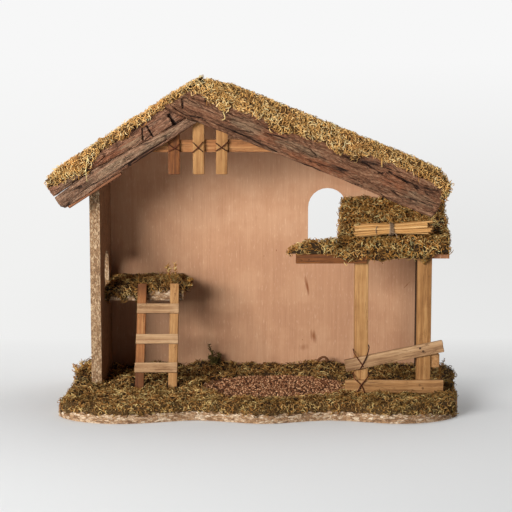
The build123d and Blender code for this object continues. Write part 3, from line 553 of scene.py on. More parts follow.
class Workshop:
    """Trees that grow what repeats, and every material of the stable."""

    def __init__(self) -> None:
        """Build the trees and the materials once."""
        effects = SharedEffects()
        self.strands = self._strand_tree()
        self.rods = self._rod_tree()
        self.grains = self._grain_tree()
        self.finishes = {finish.name: finish.build(effects) for finish in FINISHES}
        self.made: list[str] = []

    @staticmethod
    def _random(
        graph: Graph, low: object, high: object, seed: object, identity: object = None, kind: str = "FLOAT"
    ) -> Socket:
        """Add a random number or vector for each point.

        Args:
            graph: Where it goes.
            low: Least value.
            high: Greatest value.
            seed: Socket or number of the seed.
            identity: Socket that tells the items apart, or none for the point's own number.
            kind: FLOAT or FLOAT_VECTOR.

        Returns:
            The socket of the random value.
        """
        first = 0 if kind == "FLOAT_VECTOR" else 2
        inputs = {first: low, first + 1: high, "Seed": seed}
        if identity is not None:
            inputs["ID"] = identity
        return graph.node("FunctionNodeRandomValue", inputs, data_type=kind).outputs[first // 2]

    @staticmethod
    def _store(graph: Graph, geometry: object, name: str, value: object) -> Socket:
        """Store a number on the points of a geometry under a name."""
        inputs = {"Geometry": geometry, "Name": name, "Value": value}
        return graph.node(
            "GeometryNodeStoreNamedAttribute", inputs, data_type="FLOAT", domain="POINT"
        ).outputs[0]

    @staticmethod
    def _read(graph: Graph, name: str) -> Socket:
        """Read back a stored number."""
        return graph.node("GeometryNodeInputNamedAttribute", {"Name": name}, data_type="FLOAT").outputs[0]

    @staticmethod
    def _tube(graph: Graph, curve: Socket, sides: object, radius: Socket, scale: Socket) -> Socket:
        """Sweep a ring of so many sides along curves, scaled point by point."""
        ring = graph.node("GeometryNodeCurvePrimitiveCircle", {"Resolution": sides, "Radius": radius})
        return graph.node("GeometryNodeCurveToMesh", {
            "Curve": curve, "Profile Curve": ring.outputs[0], "Scale": scale, "Fill Caps": True,
        }).outputs[0]

    @staticmethod
    def _finish(graph: Graph, geometry: object, finish: object, made: Sequence[Socket]) -> Tree:
        """End a tree: realised, smooth, and wearing its finish."""
        solid = graph.node("GeometryNodeRealizeInstances", {0: geometry})
        smooth = graph.node("GeometryNodeSetShadeSmooth", {0: solid.outputs[0]})
        coat = graph.node("GeometryNodeSetMaterial", {"Geometry": smooth.outputs[0], "Material": finish})
        graph.put(made[0], coat.outputs[0])
        return graph.tree

    def _scattered(self, graph: Graph, given: Sequence[Socket]) -> tuple[Node, Socket]:
        """Scatter points over the part of a bed that faces up enough, between two ends.

        Args:
            graph: Where the nodes go.
            given: Bed, Density, Back Share, Lowest Normal, both ends and Seed.

        Returns:
            The node that scatters, and its points with a tint each.
        """
        upward = graph.split(graph.node("GeometryNodeInputNormal").outputs[0])[2]
        place = graph.node("GeometryNodeInputPosition").outputs[0]
        across, inwards, _ = graph.split(place)
        wanted = graph.math("GREATER_THAN", upward, given["Lowest Normal"])
        wanted = graph.times(wanted, graph.math("GREATER_THAN", across, given["Left End"]))
        wanted = graph.times(wanted, graph.math("LESS_THAN", across, given["Right End"]))
        thinner = graph.spread(inwards, FRONT_BAND[0] * MM, FRONT_BAND[1] * MM, 1, given["Back Share"])
        clumps = graph.spread(graph.noise(place, 90, 2), 0.35, 0.65, 0.35, 1.3)
        points = graph.node("GeometryNodeDistributePointsOnFaces", {
            "Mesh": given["Bed"], "Selection": wanted, "Seed": given["Seed"],
            "Density": graph.times(given["Density"], graph.times(thinner, clumps)),
        }, distribute_method="RANDOM")
        tint = self._random(graph, 0, 1, given["Seed"])
        return points, self._store(graph, points.outputs["Points"], "tint", tint)

    def _strand_tree(self) -> Tree:
        """Curly moss strands scattered over a bed."""
        graph, given, made = start_group("GeometryNodeTree", "moss_strands", {
            "Bed": "Geometry", "Density": 2e5, "Back Share": 0.5, "Length": 0.007, "Thickness": 0.0009,
            "Curl": 0.005, "Tilt": 0.8, "Lowest Normal": -0.4, "Left End": -1.0, "Right End": 1.0, "Seed": 1,
            "Finish": "Material",
        }, {"Moss": "Geometry"})
        seed = given["Seed"]
        length = given["Length"]
        tilt = given["Tilt"]
        points, tinted = self._scattered(graph, given)
        for name, low, high, step in (("phase", 0, 90, 3), ("girth", 0.55, 1.25, 4)):
            tinted = self._store(graph, tinted, name, self._random(graph, low, high, graph.plus(seed, step)))
        arc = graph.node("GeometryNodeCurveSpiral", {
            "Resolution": 12, "Rotations": 0.42, "Start Radius": graph.times(length, 0.42),
            "End Radius": graph.times(length, 0.24), "Height": graph.times(length, 0.3),
        })
        less = graph.times(tilt, -1)
        turn = self._random(
            graph, graph.join(less, less, 0), graph.join(tilt, tilt, math.tau), graph.plus(seed, 1),
            kind="FLOAT_VECTOR",
        )
        spin = graph.node("FunctionNodeEulerToRotation", {0: turn})
        turned = graph.node(
            "FunctionNodeRotateRotation", {0: points.outputs["Rotation"], 1: spin.outputs[0]},
            rotation_space="LOCAL",
        )
        placed = graph.node("GeometryNodeInstanceOnPoints", {
            "Points": tinted, "Instance": arc.outputs[0], "Rotation": turned.outputs[0],
            "Scale": self._random(graph, 0.55, 1.35, graph.plus(seed, 2)),
        })
        real = graph.node("GeometryNodeRealizeInstances", {0: placed.outputs[0]})
        bend = graph.node("ShaderNodeTexNoise", noise_dimensions="4D")
        graph.put(bend.inputs["Vector"], graph.node("GeometryNodeInputPosition").outputs[0])
        graph.put(bend.inputs["W"], self._read(graph, "phase"))
        graph.put(bend.inputs["Scale"], 200)
        graph.put(bend.inputs["Detail"], 1)
        sway = graph.vector("SUBTRACT", bend.outputs["Color"], (0.5, 0.5, 0.5))
        offset = graph.vector("SCALE", sway, graph.times(given["Curl"], 2.0))
        moved = graph.node("GeometryNodeSetPosition", {"Geometry": real.outputs[0], "Offset": offset})
        factor = graph.node("GeometryNodeSplineParameter").outputs["Factor"]
        middle = graph.math("ABSOLUTE", graph.minus(graph.times(factor, 2), 1))
        taper = graph.minus(1, graph.times(graph.math("POWER", middle, 3), 0.6))
        scale = graph.times(taper, self._read(graph, "girth"))
        tubes = self._tube(graph, moved.outputs[0], 3, graph.times(given["Thickness"], 0.5), scale)
        return self._finish(graph, tubes, given["Finish"], made)

    def _rod_tree(self) -> Tree:
        """Round rods along paths of edges, each a little thicker or thinner than the next."""
        graph, given, made = start_group("GeometryNodeTree", "rods_on_paths", {
            "Paths": "Geometry", "Radius": 0.0005, "Spread": 0.2, "Taper": 0.0, "Sides": 6, "Seed": 1,
            "Finish": "Material",
        }, {"Rods": "Geometry"})
        lines = graph.node("GeometryNodeMeshToCurve", {0: given["Paths"]})
        owner = graph.node("GeometryNodeCurveOfPoint").outputs["Curve Index"]
        tint = self._random(graph, 0, 1, given["Seed"], owner)
        tinted = self._store(graph, lines.outputs[0], "tint", tint)
        spread = given["Spread"]
        size = self._random(
            graph, graph.minus(1, spread), graph.plus(1, spread), graph.plus(given["Seed"], 5), owner
        )
        factor = graph.node("GeometryNodeSplineParameter").outputs["Factor"]
        taper = graph.minus(1, graph.times(factor, given["Taper"]))
        rods = self._tube(graph, tinted, given["Sides"], given["Radius"], graph.times(taper, size))
        return self._finish(graph, rods, given["Finish"], made)

    def _grain_tree(self) -> Tree:
        """Small broken stones scattered over a bed."""
        graph, given, made = start_group("GeometryNodeTree", "grit_grains", {
            "Bed": "Geometry", "Density": 3e5, "Back Share": 1.0, "Size": 0.0018, "Lowest Normal": 0.2,
            "Left End": -1.0, "Right End": 1.0, "Seed": 1, "Finish": "Material",
        }, {"Grit": "Geometry"})
        seed = given["Seed"]
        _, tinted = self._scattered(graph, given)
        size = graph.times(given["Size"], 0.5)
        stone = graph.node("GeometryNodeMeshIcoSphere", {"Subdivisions": 1, "Radius": size})
        turn = self._random(
            graph, (0, 0, 0), (6.28, 6.28, 6.28), graph.plus(seed, 1), kind="FLOAT_VECTOR"
        )
        placed = graph.node("GeometryNodeInstanceOnPoints", {
            "Points": tinted, "Instance": stone.outputs[0],
            "Rotation": graph.node("FunctionNodeEulerToRotation", {0: turn}).outputs[0],
            "Scale": self._random(
                graph, (0.5, 0.5, 0.5), (1.25, 1.1, 0.95), graph.plus(seed, 2), kind="FLOAT_VECTOR"
            ),
        })
        return self._finish(graph, placed.outputs[0], given["Finish"], made)

    @staticmethod
    def grow(name: str, host: Mesh, tree: Tree, **values: object) -> Object:
        """Run a tree on a mesh and keep its result as a plain object.

        Args:
            name: Name of the object.
            host: Mesh that the tree starts from.
            tree: The tree.
            **values: Its named inputs, with underscores for spaces.

        Returns:
            The grown object, with no modifier left on it.
        """
        carrier = new_object("carrier", host)
        modifier = carrier.modifiers.new("grow", "NODES")
        modifier.node_group = tree
        for item in tree.interface.items_tree:
            key = item.name.replace(" ", "_").lower()
            if item.in_out == "INPUT" and key in values:
                modifier[item.identifier] = values[key]
        mesh = evaluated(name, carrier)
        flip_if_inside_out(mesh)
        return new_object(name, mesh)

    def dress(
        self, piece: Object, slot: Slot, finish: str = "", nodes: Sequence[str] = (),
        body: Body = Body.STABLE,
    ) -> None:
        """Give a piece its finish and its place in the frame.

        Args:
            piece: The piece.
            slot: Its slot in the record; not used.
            finish: Name of its finish, or nothing where it wears one already.
            nodes: CAD nodes that it stands for.
            body: The body that it moves with.
        """
        if finish:
            piece.data.materials.clear()
            piece.data.materials.append(self.finishes[finish])
        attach(piece, body.value)
        if nodes:
            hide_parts(*nodes)
        piece.data.calc_loop_triangles()
        self.made.append(piece.name)
        LOG.info("%s: %d triangles", piece.name, len(piece.data.loop_triangles))

    def repaint(self, finish: str, *nodes: str) -> None:
        """Give CAD nodes that stay their finish."""
        for node in nodes:
            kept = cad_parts[node]
            if not kept.material_slots:
                kept.data.materials.append(self.finishes[finish])
            for place in kept.material_slots:
                place.material = self.finishes[finish]
            LOG.info("%s: CAD solid kept", node)


class MaterialGraph(Graph):
    """The nodes of one material."""

    def __init__(self, name: str) -> None:
        """Begin a material."""
        self.material = bpy.data.materials.new(name)
        self.material.use_nodes = True
        super().__init__(self.material.node_tree)
        self.shader = self.tree.nodes["Principled BSDF"]
        self.put(self.shader.inputs["Specular IOR Level"], MATT)

    def place(self, output: str = "Object") -> Socket:
        """The object coordinates, or another output of the same node."""
        return self.node("ShaderNodeTexCoord").outputs[output]

    def attribute(self, name: str, output: str = "Fac") -> Socket:
        """Read a stored attribute."""
        return self.node("ShaderNodeAttribute", attribute_name=name).outputs[output]

    def finish(
        self, colour: object, rough: object, height: Optional[Socket] = None, distance: float = 0.0,
        strength: float = 1.0, metallic: float = 0.0,
    ) -> Material:
        """End the material.

        Args:
            colour: Its colour.
            rough: Its roughness.
            height: Socket of a height that bumps it, 0 to 1, or none.
            distance: Height of 1, in metres.
            strength: Share of the bump that is used.
            metallic: Share of metal.

        Returns:
            The material.
        """
        given = {"Base Color": colour, "Roughness": rough, "Metallic": metallic}
        if height is not None:
            bump = {"Strength": strength, "Distance": distance, "Height": height}
            given["Normal"] = self.node("ShaderNodeBump", bump).outputs[0]
        for key, value in given.items():
            self.put(self.shader.inputs[key], value)
        return self.material


@dataclass(frozen=True)
class TonedFinish:
    """What most finishes share: a name and three tones."""

    name: str
    dark: Colour
    middle: Colour
    light: Colour

    def toned(self, graph: Graph, effects: SharedEffects, mask: Socket) -> Socket:
        """Spread the three tones over a mask."""
        tones = {"Dark": self.dark, "Middle": self.middle, "Light": self.light}
        return graph.group(effects.tones, Mask=mask, **tones)[0]


@dataclass(frozen=True)
class PineFinish(TonedFinish):
    """Sawn pine strip, read along the grain attribute of the piece, with darker ends."""

    pitch: float = 0.0011
    roughness: float = 0.72
    darker_ends: Point2 = (0, 1000)
    stain_axis: int = 2

    def build(self, effects: SharedEffects) -> Material:
        """Build the material."""
        graph = MaterialGraph(self.name)
        place = graph.attribute("grain", "Vector")
        fibre = graph.group(effects.fibre, Vector=place, Pitch=self.pitch, Stretch=26)
        patch = graph.group(effects.mottle, Vector=place, Size=0.02, Hardness=0.4)[0]
        mask = graph.weighed(
            (graph.spread(fibre["Fibre"], 0.15, 0.85), 0.45), (fibre["Band"], 0.36), (patch, 0.2)
        )
        tone = self.toned(graph, effects, mask)
        split = graph.group(effects.cracks, Vector=place, Size=0.005, Width=0.012)[0]
        pores = graph.most(graph.times(fibre["Pore"], 0.5), split)
        along = graph.weighed((mask, 0.012), (graph.split(graph.place())[self.stain_axis], 1))
        # The colour darkens towards the dark tone near both given ends along one axis.
        first, last = (stain * MM for stain in self.darker_ends)
        ends = graph.most(
            graph.spread(along, first, first + 0.018, 0.75, 0),
            graph.spread(along, last, last + 0.012, 0, 0.75),
        )
        colour = graph.mix(ends, graph.mix(pores, tone, self.dark), self.dark)
        rough = graph.spread(fibre["Fibre"], 0, 1, self.roughness - 0.08, self.roughness + 0.1)
        return graph.finish(colour, rough, graph.minus(fibre["Fibre"], pores), 0.00022, 0.7)


@dataclass(frozen=True)
class VeneerFinish(TonedFinish):
    """Thin pinkish plywood with upright grain and pale flecks, and brown marks on its front; painted light
    makes its upper part lighter, and painted shade darkens its front in the right corner.
    """

    name: str = "plywood_veneer"
    dark: Colour = srgb(170, 121, 90)
    middle: Colour = srgb(191, 144, 109)
    light: Colour = srgb(205, 162, 128)
    mark: Colour = srgb(138, 82, 48)
    # Colour of the painted shade in the corner against the right wall.
    gap: Colour = srgb(54, 38, 26)
    fleck: Colour = srgb(216, 178, 146)
    marks: tuple[tuple[float, float, float, float, float, float], ...] = ()
    painted_corner_shade_from: float = 1000.0
    marked_to: float = 101.0

    def build(self, effects: SharedEffects) -> Material:
        """Build the material."""
        graph = MaterialGraph(self.name)
        x, y, z = graph.split(graph.place())
        place = graph.join(z, x, y)
        fibre = graph.group(effects.fibre, Vector=place, Pitch=0.0009, Stretch=40)
        wide = graph.group(effects.fibre, Vector=place, Pitch=0.005, Stretch=16)["Fibre"]
        patch = graph.group(effects.mottle, Vector=place, Size=0.05, Hardness=0.2)[0]
        # Painted light: the tone grows lighter from 140 to 220 mm up, brightening the upper wall under the
        # gable.
        rise = graph.spread(z, 0.14, 0.22, 0.09, 0.25)
        mask = graph.weighed((fibre["Fibre"], 0.28), (wide, 0.24), (patch, 0.22), (rise, 1))
        tone = self.toned(graph, effects, mask)
        speck = graph.noise(graph.vector("MULTIPLY", place, (0.2, 1, 1)), 700, 2)
        plain = graph.mix(graph.spread(speck, 0.6, 0.72, 0, 0.5), tone, self.fleck)
        plain = graph.mix(graph.times(fibre["Pore"], 0.3), plain, self.dark)
        colour = plain
        for mark_x, mark_z, half_width, half_height, lean, strength in self.marks:
            middle = graph.math("MULTIPLY_ADD", z, lean, (mark_x - lean * mark_z) * MM)
            dx = graph.math("DIVIDE", graph.minus(x, middle), half_width * MM)
            dz = graph.math("DIVIDE", graph.minus(z, mark_z * MM), half_height * MM)
            far = graph.vector("LENGTH", graph.join(dx, dz, 0))
            uneven = graph.weighed((fibre["Fibre"], 0.7), (far, 1))
            colour = graph.mix(graph.spread(uneven, 0.5, 1.25, strength, 0), colour, self.mark)
        # Painted shade: the front of the wall turns dark right of the given x, in the corner against the
        # right wall.
        colour = graph.mix(graph.math("GREATER_THAN", x, self.painted_corner_shade_from * MM), colour, self.gap)
        colour = graph.mix(graph.math("LESS_THAN", y, self.marked_to * MM), plain, colour)
        rough = graph.spread(fibre["Fibre"], 0, 1, 0.62, 0.8)
        return graph.finish(colour, rough, fibre["Fibre"], 0.00012, 0.6)


@dataclass(frozen=True)
class FlakeFinish(TonedFinish):
    """Raw chipboard: coarse pressed flakes on the sawn edges, dust and chips on the faces."""

    dark: Colour = srgb(104, 72, 48)
    middle: Colour = srgb(190, 150, 110)
    light: Colour = srgb(246, 220, 182)
    face_dark: Colour = srgb(124, 94, 72)
    face_light: Colour = srgb(180, 142, 108)
    gap: Colour = srgb(82, 56, 40)
    flake: float = 0.0038
    squash: Point3 = (2.6, 1, 1)
    face_axis: int = 0

    def build(self, effects: SharedEffects) -> Material:
        """Build the material."""
        graph = MaterialGraph(self.name)
        place = graph.place()
        drawn = graph.vector("MULTIPLY", place, self.squash)
        big = graph.group(effects.flakes, Vector=drawn, Size=self.flake)
        small = graph.group(effects.flakes, Vector=drawn, Size=self.flake * 0.36)
        mask = graph.weighed((big["Tone"], 0.6), (small["Tone"], 0.4))
        edge = self.toned(graph, effects, mask)
        gap = graph.most(graph.times(big["Gap"], 0.7), graph.times(small["Gap"], 0.45))
        edge = graph.mix(gap, edge, self.gap)
        dust = graph.group(effects.flakes, Vector=place, Size=0.0011)["Tone"]
        chips = graph.group(effects.flakes, Vector=place, Size=0.0042)["Tone"]
        patch = graph.group(effects.mottle, Vector=place, Size=0.03, Hardness=0.2)[0]
        fine = graph.weighed((dust, 0.45), (chips, 0.4), (patch, 0.15))
        face = graph.mix(fine, self.face_dark, self.face_light)
        normal = graph.split(graph.place("Normal"))[self.face_axis]
        broad = graph.spread(graph.math("ABSOLUTE", normal), 0.6, 0.8)
        deep = graph.times(gap, graph.minus(1, graph.times(broad, 0.85)))
        return graph.finish(graph.mix(broad, edge, face), 0.88, graph.minus(1, deep), 0.0006, 0.8)


@dataclass(frozen=True)
class BarkFinish(TonedFinish):
    """Layered bark, by the piece's relief: streaks and pits, red and grey patches, dark cracks, and painted
    shade in its low places.
    """

    crack_and_shade: Colour = srgb(44, 27, 19)
    red: Colour = srgb(134, 76, 46)
    grey: Colour = srgb(136, 115, 90)
    wood: Colour = srgb(150, 110, 78)

    def build(self, effects: SharedEffects) -> Material:
        """Build the material."""
        graph = MaterialGraph(self.name)
        place = graph.attribute("grain", "Vector")
        fibre = graph.group(effects.fibre, Vector=place, Pitch=0.001, Stretch=16)["Fibre"]
        streak = graph.group(effects.fibre, Vector=place, Pitch=0.0034, Stretch=12)["Fibre"]
        grit = graph.noise(graph.vector("MULTIPLY", place, (0.3, 1, 1)), 900, 3, 0.65)
        mask = graph.weighed((streak, 0.36), (fibre, 0.3), (graph.spread(grit, 0.32, 0.68), 0.34))
        tone = self.toned(graph, effects, mask)
        layer = graph.weighed((streak, 0.3), (graph.attribute("layer"), 1))
        reds = graph.most(graph.attribute("red"), graph.spread(layer, 0.5, 0.75, 0.35, 0))
        colour = graph.mix(graph.times(reds, graph.spread(mask, 0.2, 0.7, 0.6, 0.35)), tone, self.red)
        greys = graph.times(graph.attribute("grey"), graph.spread(fibre, 0.2, 0.8, 0.15, 0.7))
        colour = graph.mix(greys, colour, self.grey)
        colour = graph.mix(graph.spread(grit, 0.56, 0.7, 0, 0.55), colour, self.light)
        pits = graph.times(graph.spread(grit, 0.46, 0.33), graph.spread(streak, 0.2, 0.8, 0.9, 0.5))
        split = graph.group(effects.cracks, Vector=place, Size=0.0055, Width=0.035)[0]
        fine = graph.group(effects.cracks, Vector=place, Size=0.0022, Width=0.045)[0]
        split = graph.most(split, graph.times(fine, 0.8))
        # Painted shade: the low places of the carved relief, in seams, fissures and along the rounded edges,
        # darken to the crack colour; the textured pits and cracks darken it too.
        low = graph.spread(graph.attribute("relief"), 0.02, 0.42, 1, 0)
        deep = graph.most(graph.times(pits, 0.75), graph.times(split, 0.8), low)
        colour = graph.mix(graph.attribute("sawn"), graph.mix(deep, colour, self.crack_and_shade), self.wood)
        rough = graph.spread(mask, 0, 1, 0.95, 0.75)
        return graph.finish(colour, rough, graph.weighed((split, -0.6), (mask, 1)), 0.0008, 0.9)


@dataclass(frozen=True)
class MossFinish(TonedFinish):
    """Dried moss: a tone for each strand, greener patches, and painted shade in patches for the hollows
    between the clumps.
    """

    green: Colour
    green_share: float
    bed: bool = False
    green_right: float = 0.0
    painted_hollow_shade: float = 0.0
    painted_hollow_shade_colour: Colour = srgb(34, 24, 11)

    def build(self, effects: SharedEffects) -> Material:
        """Build the material."""
        graph = MaterialGraph(self.name)
        place = graph.place()
        patch = graph.group(effects.mottle, Vector=place, Size=0.022, Hardness=0.5)[0]
        if self.bed:
            tint = graph.spread(graph.noise(place, 520, 4, 0.7), 0.25, 0.75)
        else:
            clump = graph.spread(graph.noise(place, 80, 3), 0.35, 0.65)
            tint = graph.weighed((graph.math("POWER", graph.attribute("tint"), 1.2), 0.68), (clump, 0.32))
        tone = self.toned(graph, effects, tint)
        right = graph.spread(graph.split(place)[0], 0.07, 0.15, 0, self.green_right)
        colour = graph.mix(graph.weighed((patch, self.green_share), (right, 1)), tone, self.green)
        # Painted shade: noise patches darken the colour towards the hollow colour, by the finish's share of
        # hollow shade.
        deep = graph.spread(graph.noise(place, 120, 2, 0.6), 0.41, 0.5, self.painted_hollow_shade, 0)
        colour = graph.mix(deep, colour, self.painted_hollow_shade_colour)
        rough = graph.spread(tint, 0, 1, 0.9, 0.7)
        return graph.finish(colour, rough, tint if self.bed else None, 0.0015)


@dataclass(frozen=True)
class StoneFinish(TonedFinish):
    """Pinkish brown grit, a tone for each grain."""

    dark: Colour = srgb(66, 38, 22)
    middle: Colour = srgb(143, 92, 59)
    light: Colour = srgb(234, 184, 138)
    bed: bool = False

    def build(self, effects: SharedEffects) -> Material:
        """Build the material."""
        graph = MaterialGraph(self.name)
        place = graph.place()
        speck = graph.noise(place, 1400, 2, 0.6)
        if self.bed:
            tint = graph.spread(graph.noise(place, 700, 3, 0.7), 0.3, 0.8)
        else:
            tint = graph.attribute("tint")
        mask = graph.weighed((tint, 0.8), (speck, 0.2))
        tone = self.toned(graph, effects, mask)
        return graph.finish(tone, graph.spread(speck, 0.3, 0.7, 0.75, 0.92), speck, 0.0003, 0.6)


@dataclass(frozen=True)
class StemFinish(TonedFinish):
    """Straw, raffia, wire or twig: a tone for each stem, with streaks along object coordinates."""

    roughness: float
    metallic: float = 0.0

    def build(self, effects: SharedEffects) -> Material:
        """Build the material."""
        graph = MaterialGraph(self.name)
        fibre = graph.group(effects.fibre, Vector=graph.place(), Pitch=0.0006, Stretch=20)["Fibre"]
        mask = graph.weighed((graph.attribute("tint"), 0.65), (fibre, 0.35))
        tone = self.toned(graph, effects, mask)
        rough = graph.spread(fibre, 0, 1, self.roughness - 0.06, self.roughness + 0.1)
        return graph.finish(tone, rough, fibre, 0.0001, 0.5, self.metallic)


@dataclass(frozen=True)
class SteelFinish:
    """Dull steel of nails with a little rust, paler on the nails near the ground."""

    name: str = "dull_nail_steel"
    steel: Colour = srgb(104, 84, 66)
    rust: Colour = srgb(84, 56, 38)
    faded: Colour = srgb(140, 102, 66)
    fade_under: float = 30.0

    def build(self, effects: SharedEffects) -> Material:
        """Build the material."""
        graph = MaterialGraph(self.name)
        place = graph.place()
        patch = graph.group(effects.mottle, Vector=place, Size=0.0012, Hardness=0.5)[0]
        low = graph.math("LESS_THAN", graph.split(place)[2], self.fade_under * MM)
        colour = graph.mix(low, graph.mix(patch, self.steel, self.rust), self.faded)
        return graph.finish(colour, graph.spread(patch, 0, 1, 0.45, 0.75), metallic=0.7)


BACK_MARKS = (
    (48, 98.7, 2, 12.5, -0.2, 1), (54.6, 46, 4.2, 9, -0.15, 0.9), (44, 34, 7, 5, 0.3, 0.5),
    (152.5, 100, 0.8, 5, 0.9, 0.8), (2.5, 131, 0.9, 0.9, 0, 0.9), (15.6, 137, 0.9, 1.4, 0, 0.8),
    (43, 42, 0.9, 1.2, 0, 0.8),
)
FINISHES = (
    PineFinish("pale_pine", srgb(124, 86, 54), srgb(172, 134, 96), srgb(204, 170, 130)),
    PineFinish(
        "faded_pine", srgb(112, 76, 48), srgb(170, 132, 94), srgb(204, 168, 128), darker_ends=(82, 1000),
        stain_axis=0,
    ),
    PineFinish("rail_pine", srgb(84, 46, 22), srgb(150, 96, 54), srgb(184, 132, 84), darker_ends=(30, 101)),
    PineFinish("golden_pine", srgb(120, 78, 42), srgb(168, 122, 74), srgb(194, 150, 100)),
    PineFinish("slat_pine", srgb(108, 68, 34), srgb(153, 108, 62), srgb(182, 138, 88)),
    PineFinish("stained_pine", srgb(112, 74, 42), srgb(164, 118, 72), srgb(194, 150, 104)),
    PineFinish("orange_pine", srgb(96, 60, 34), srgb(150, 98, 56), srgb(186, 136, 88)),
    PineFinish("umber_pine", srgb(62, 34, 14), srgb(102, 58, 26), srgb(136, 84, 44)),
    PineFinish("dark_pine", srgb(64, 36, 15), srgb(110, 64, 30), srgb(146, 92, 46)),
    PineFinish("splint_bark", srgb(84, 50, 32), srgb(128, 82, 54), srgb(160, 114, 82), pitch=0.0016),
    VeneerFinish(marks=BACK_MARKS, painted_corner_shade_from=161.5),
    VeneerFinish("roof_veneer"),
    VeneerFinish("lean_veneer", srgb(100, 60, 38), srgb(140, 92, 62), srgb(166, 118, 84)),
    FlakeFinish(
        "flat_chipboard", light=srgb(252, 232, 202), flake=0.0045, squash=(1, 1, 2.6), face_axis=2
    ),
    FlakeFinish("upright_chipboard", flake=0.003),
    # Painted shade: a darkened copy of the chipboard, for the right wall, which stands in shadow.
    FlakeFinish(
        "shaded_chipboard", srgb(50, 34, 22), srgb(84, 58, 40), srgb(120, 90, 64), srgb(46, 32, 22),
        srgb(72, 52, 38),
    ),
    BarkFinish("red_bark", srgb(60, 37, 24), srgb(120, 80, 56), srgb(164, 130, 100)),
    BarkFinish("upper_bark", srgb(68, 44, 30), srgb(134, 92, 68), srgb(180, 146, 118)),
    BarkFinish("grey_bark", srgb(88, 60, 44), srgb(138, 104, 80), srgb(184, 154, 128), srgb(50, 33, 24)),
    MossFinish(
        "ground_moss_strands", srgb(84, 46, 20), srgb(182, 126, 64), srgb(255, 228, 154), srgb(104, 90, 34),
        0.4, green_right=0.14, painted_hollow_shade=0.6,
    ),
    MossFinish(
        "lean_moss_strands", srgb(112, 62, 27), srgb(206, 144, 70), srgb(255, 240, 170), srgb(120, 100, 40),
        0.35, painted_hollow_shade=0.5,
    ),
    MossFinish(
        "roof_moss_strands", srgb(164, 108, 58), srgb(240, 186, 110), srgb(255, 244, 192),
        srgb(156, 134, 68), 0.25, painted_hollow_shade=0.25,
    ),
    MossFinish(
        "sprig_green", srgb(58, 46, 20), srgb(92, 78, 34), srgb(134, 112, 58), srgb(58, 62, 24), 0.6
    ),
    # Painted shade: the three beds are dark copies of the moss tones, for the shade in the gaps between the
    # strands.
    MossFinish(
        "moss_bed", srgb(36, 23, 12), srgb(62, 43, 23), srgb(90, 65, 36), srgb(46, 38, 18), 0.4, bed=True
    ),
    MossFinish(
        "roof_moss_bed", srgb(58, 36, 18), srgb(96, 66, 34), srgb(132, 98, 56), srgb(76, 62, 30), 0.3,
        bed=True,
    ),
    MossFinish(
        "edge_moss_bed", srgb(54, 35, 17), srgb(88, 62, 32), srgb(122, 90, 50), srgb(66, 55, 26), 0.4,
        bed=True,
    ),
    StoneFinish("grit_grains"),
    StoneFinish("grit_bed", srgb(52, 32, 20), srgb(84, 54, 36), srgb(120, 82, 56), bed=True),
    StemFinish("straw_stems", srgb(110, 68, 34), srgb(186, 134, 76), srgb(228, 186, 126), 0.5),
    StemFinish("raffia_band", srgb(90, 68, 50), srgb(144, 118, 92), srgb(184, 160, 130), 0.85),
    StemFinish("dark_iron_wire", srgb(40, 16, 8), srgb(76, 34, 18), srgb(110, 58, 34), 0.5, 0.3),
    StemFinish("twig", srgb(74, 44, 26), srgb(118, 76, 46), srgb(154, 108, 70), 0.85),
    SteelFinish(),
)


def turned(degrees: float, axis: str) -> Matrix:
    """A turn about an axis."""
    return Matrix.Rotation(math.radians(degrees), 4, axis)


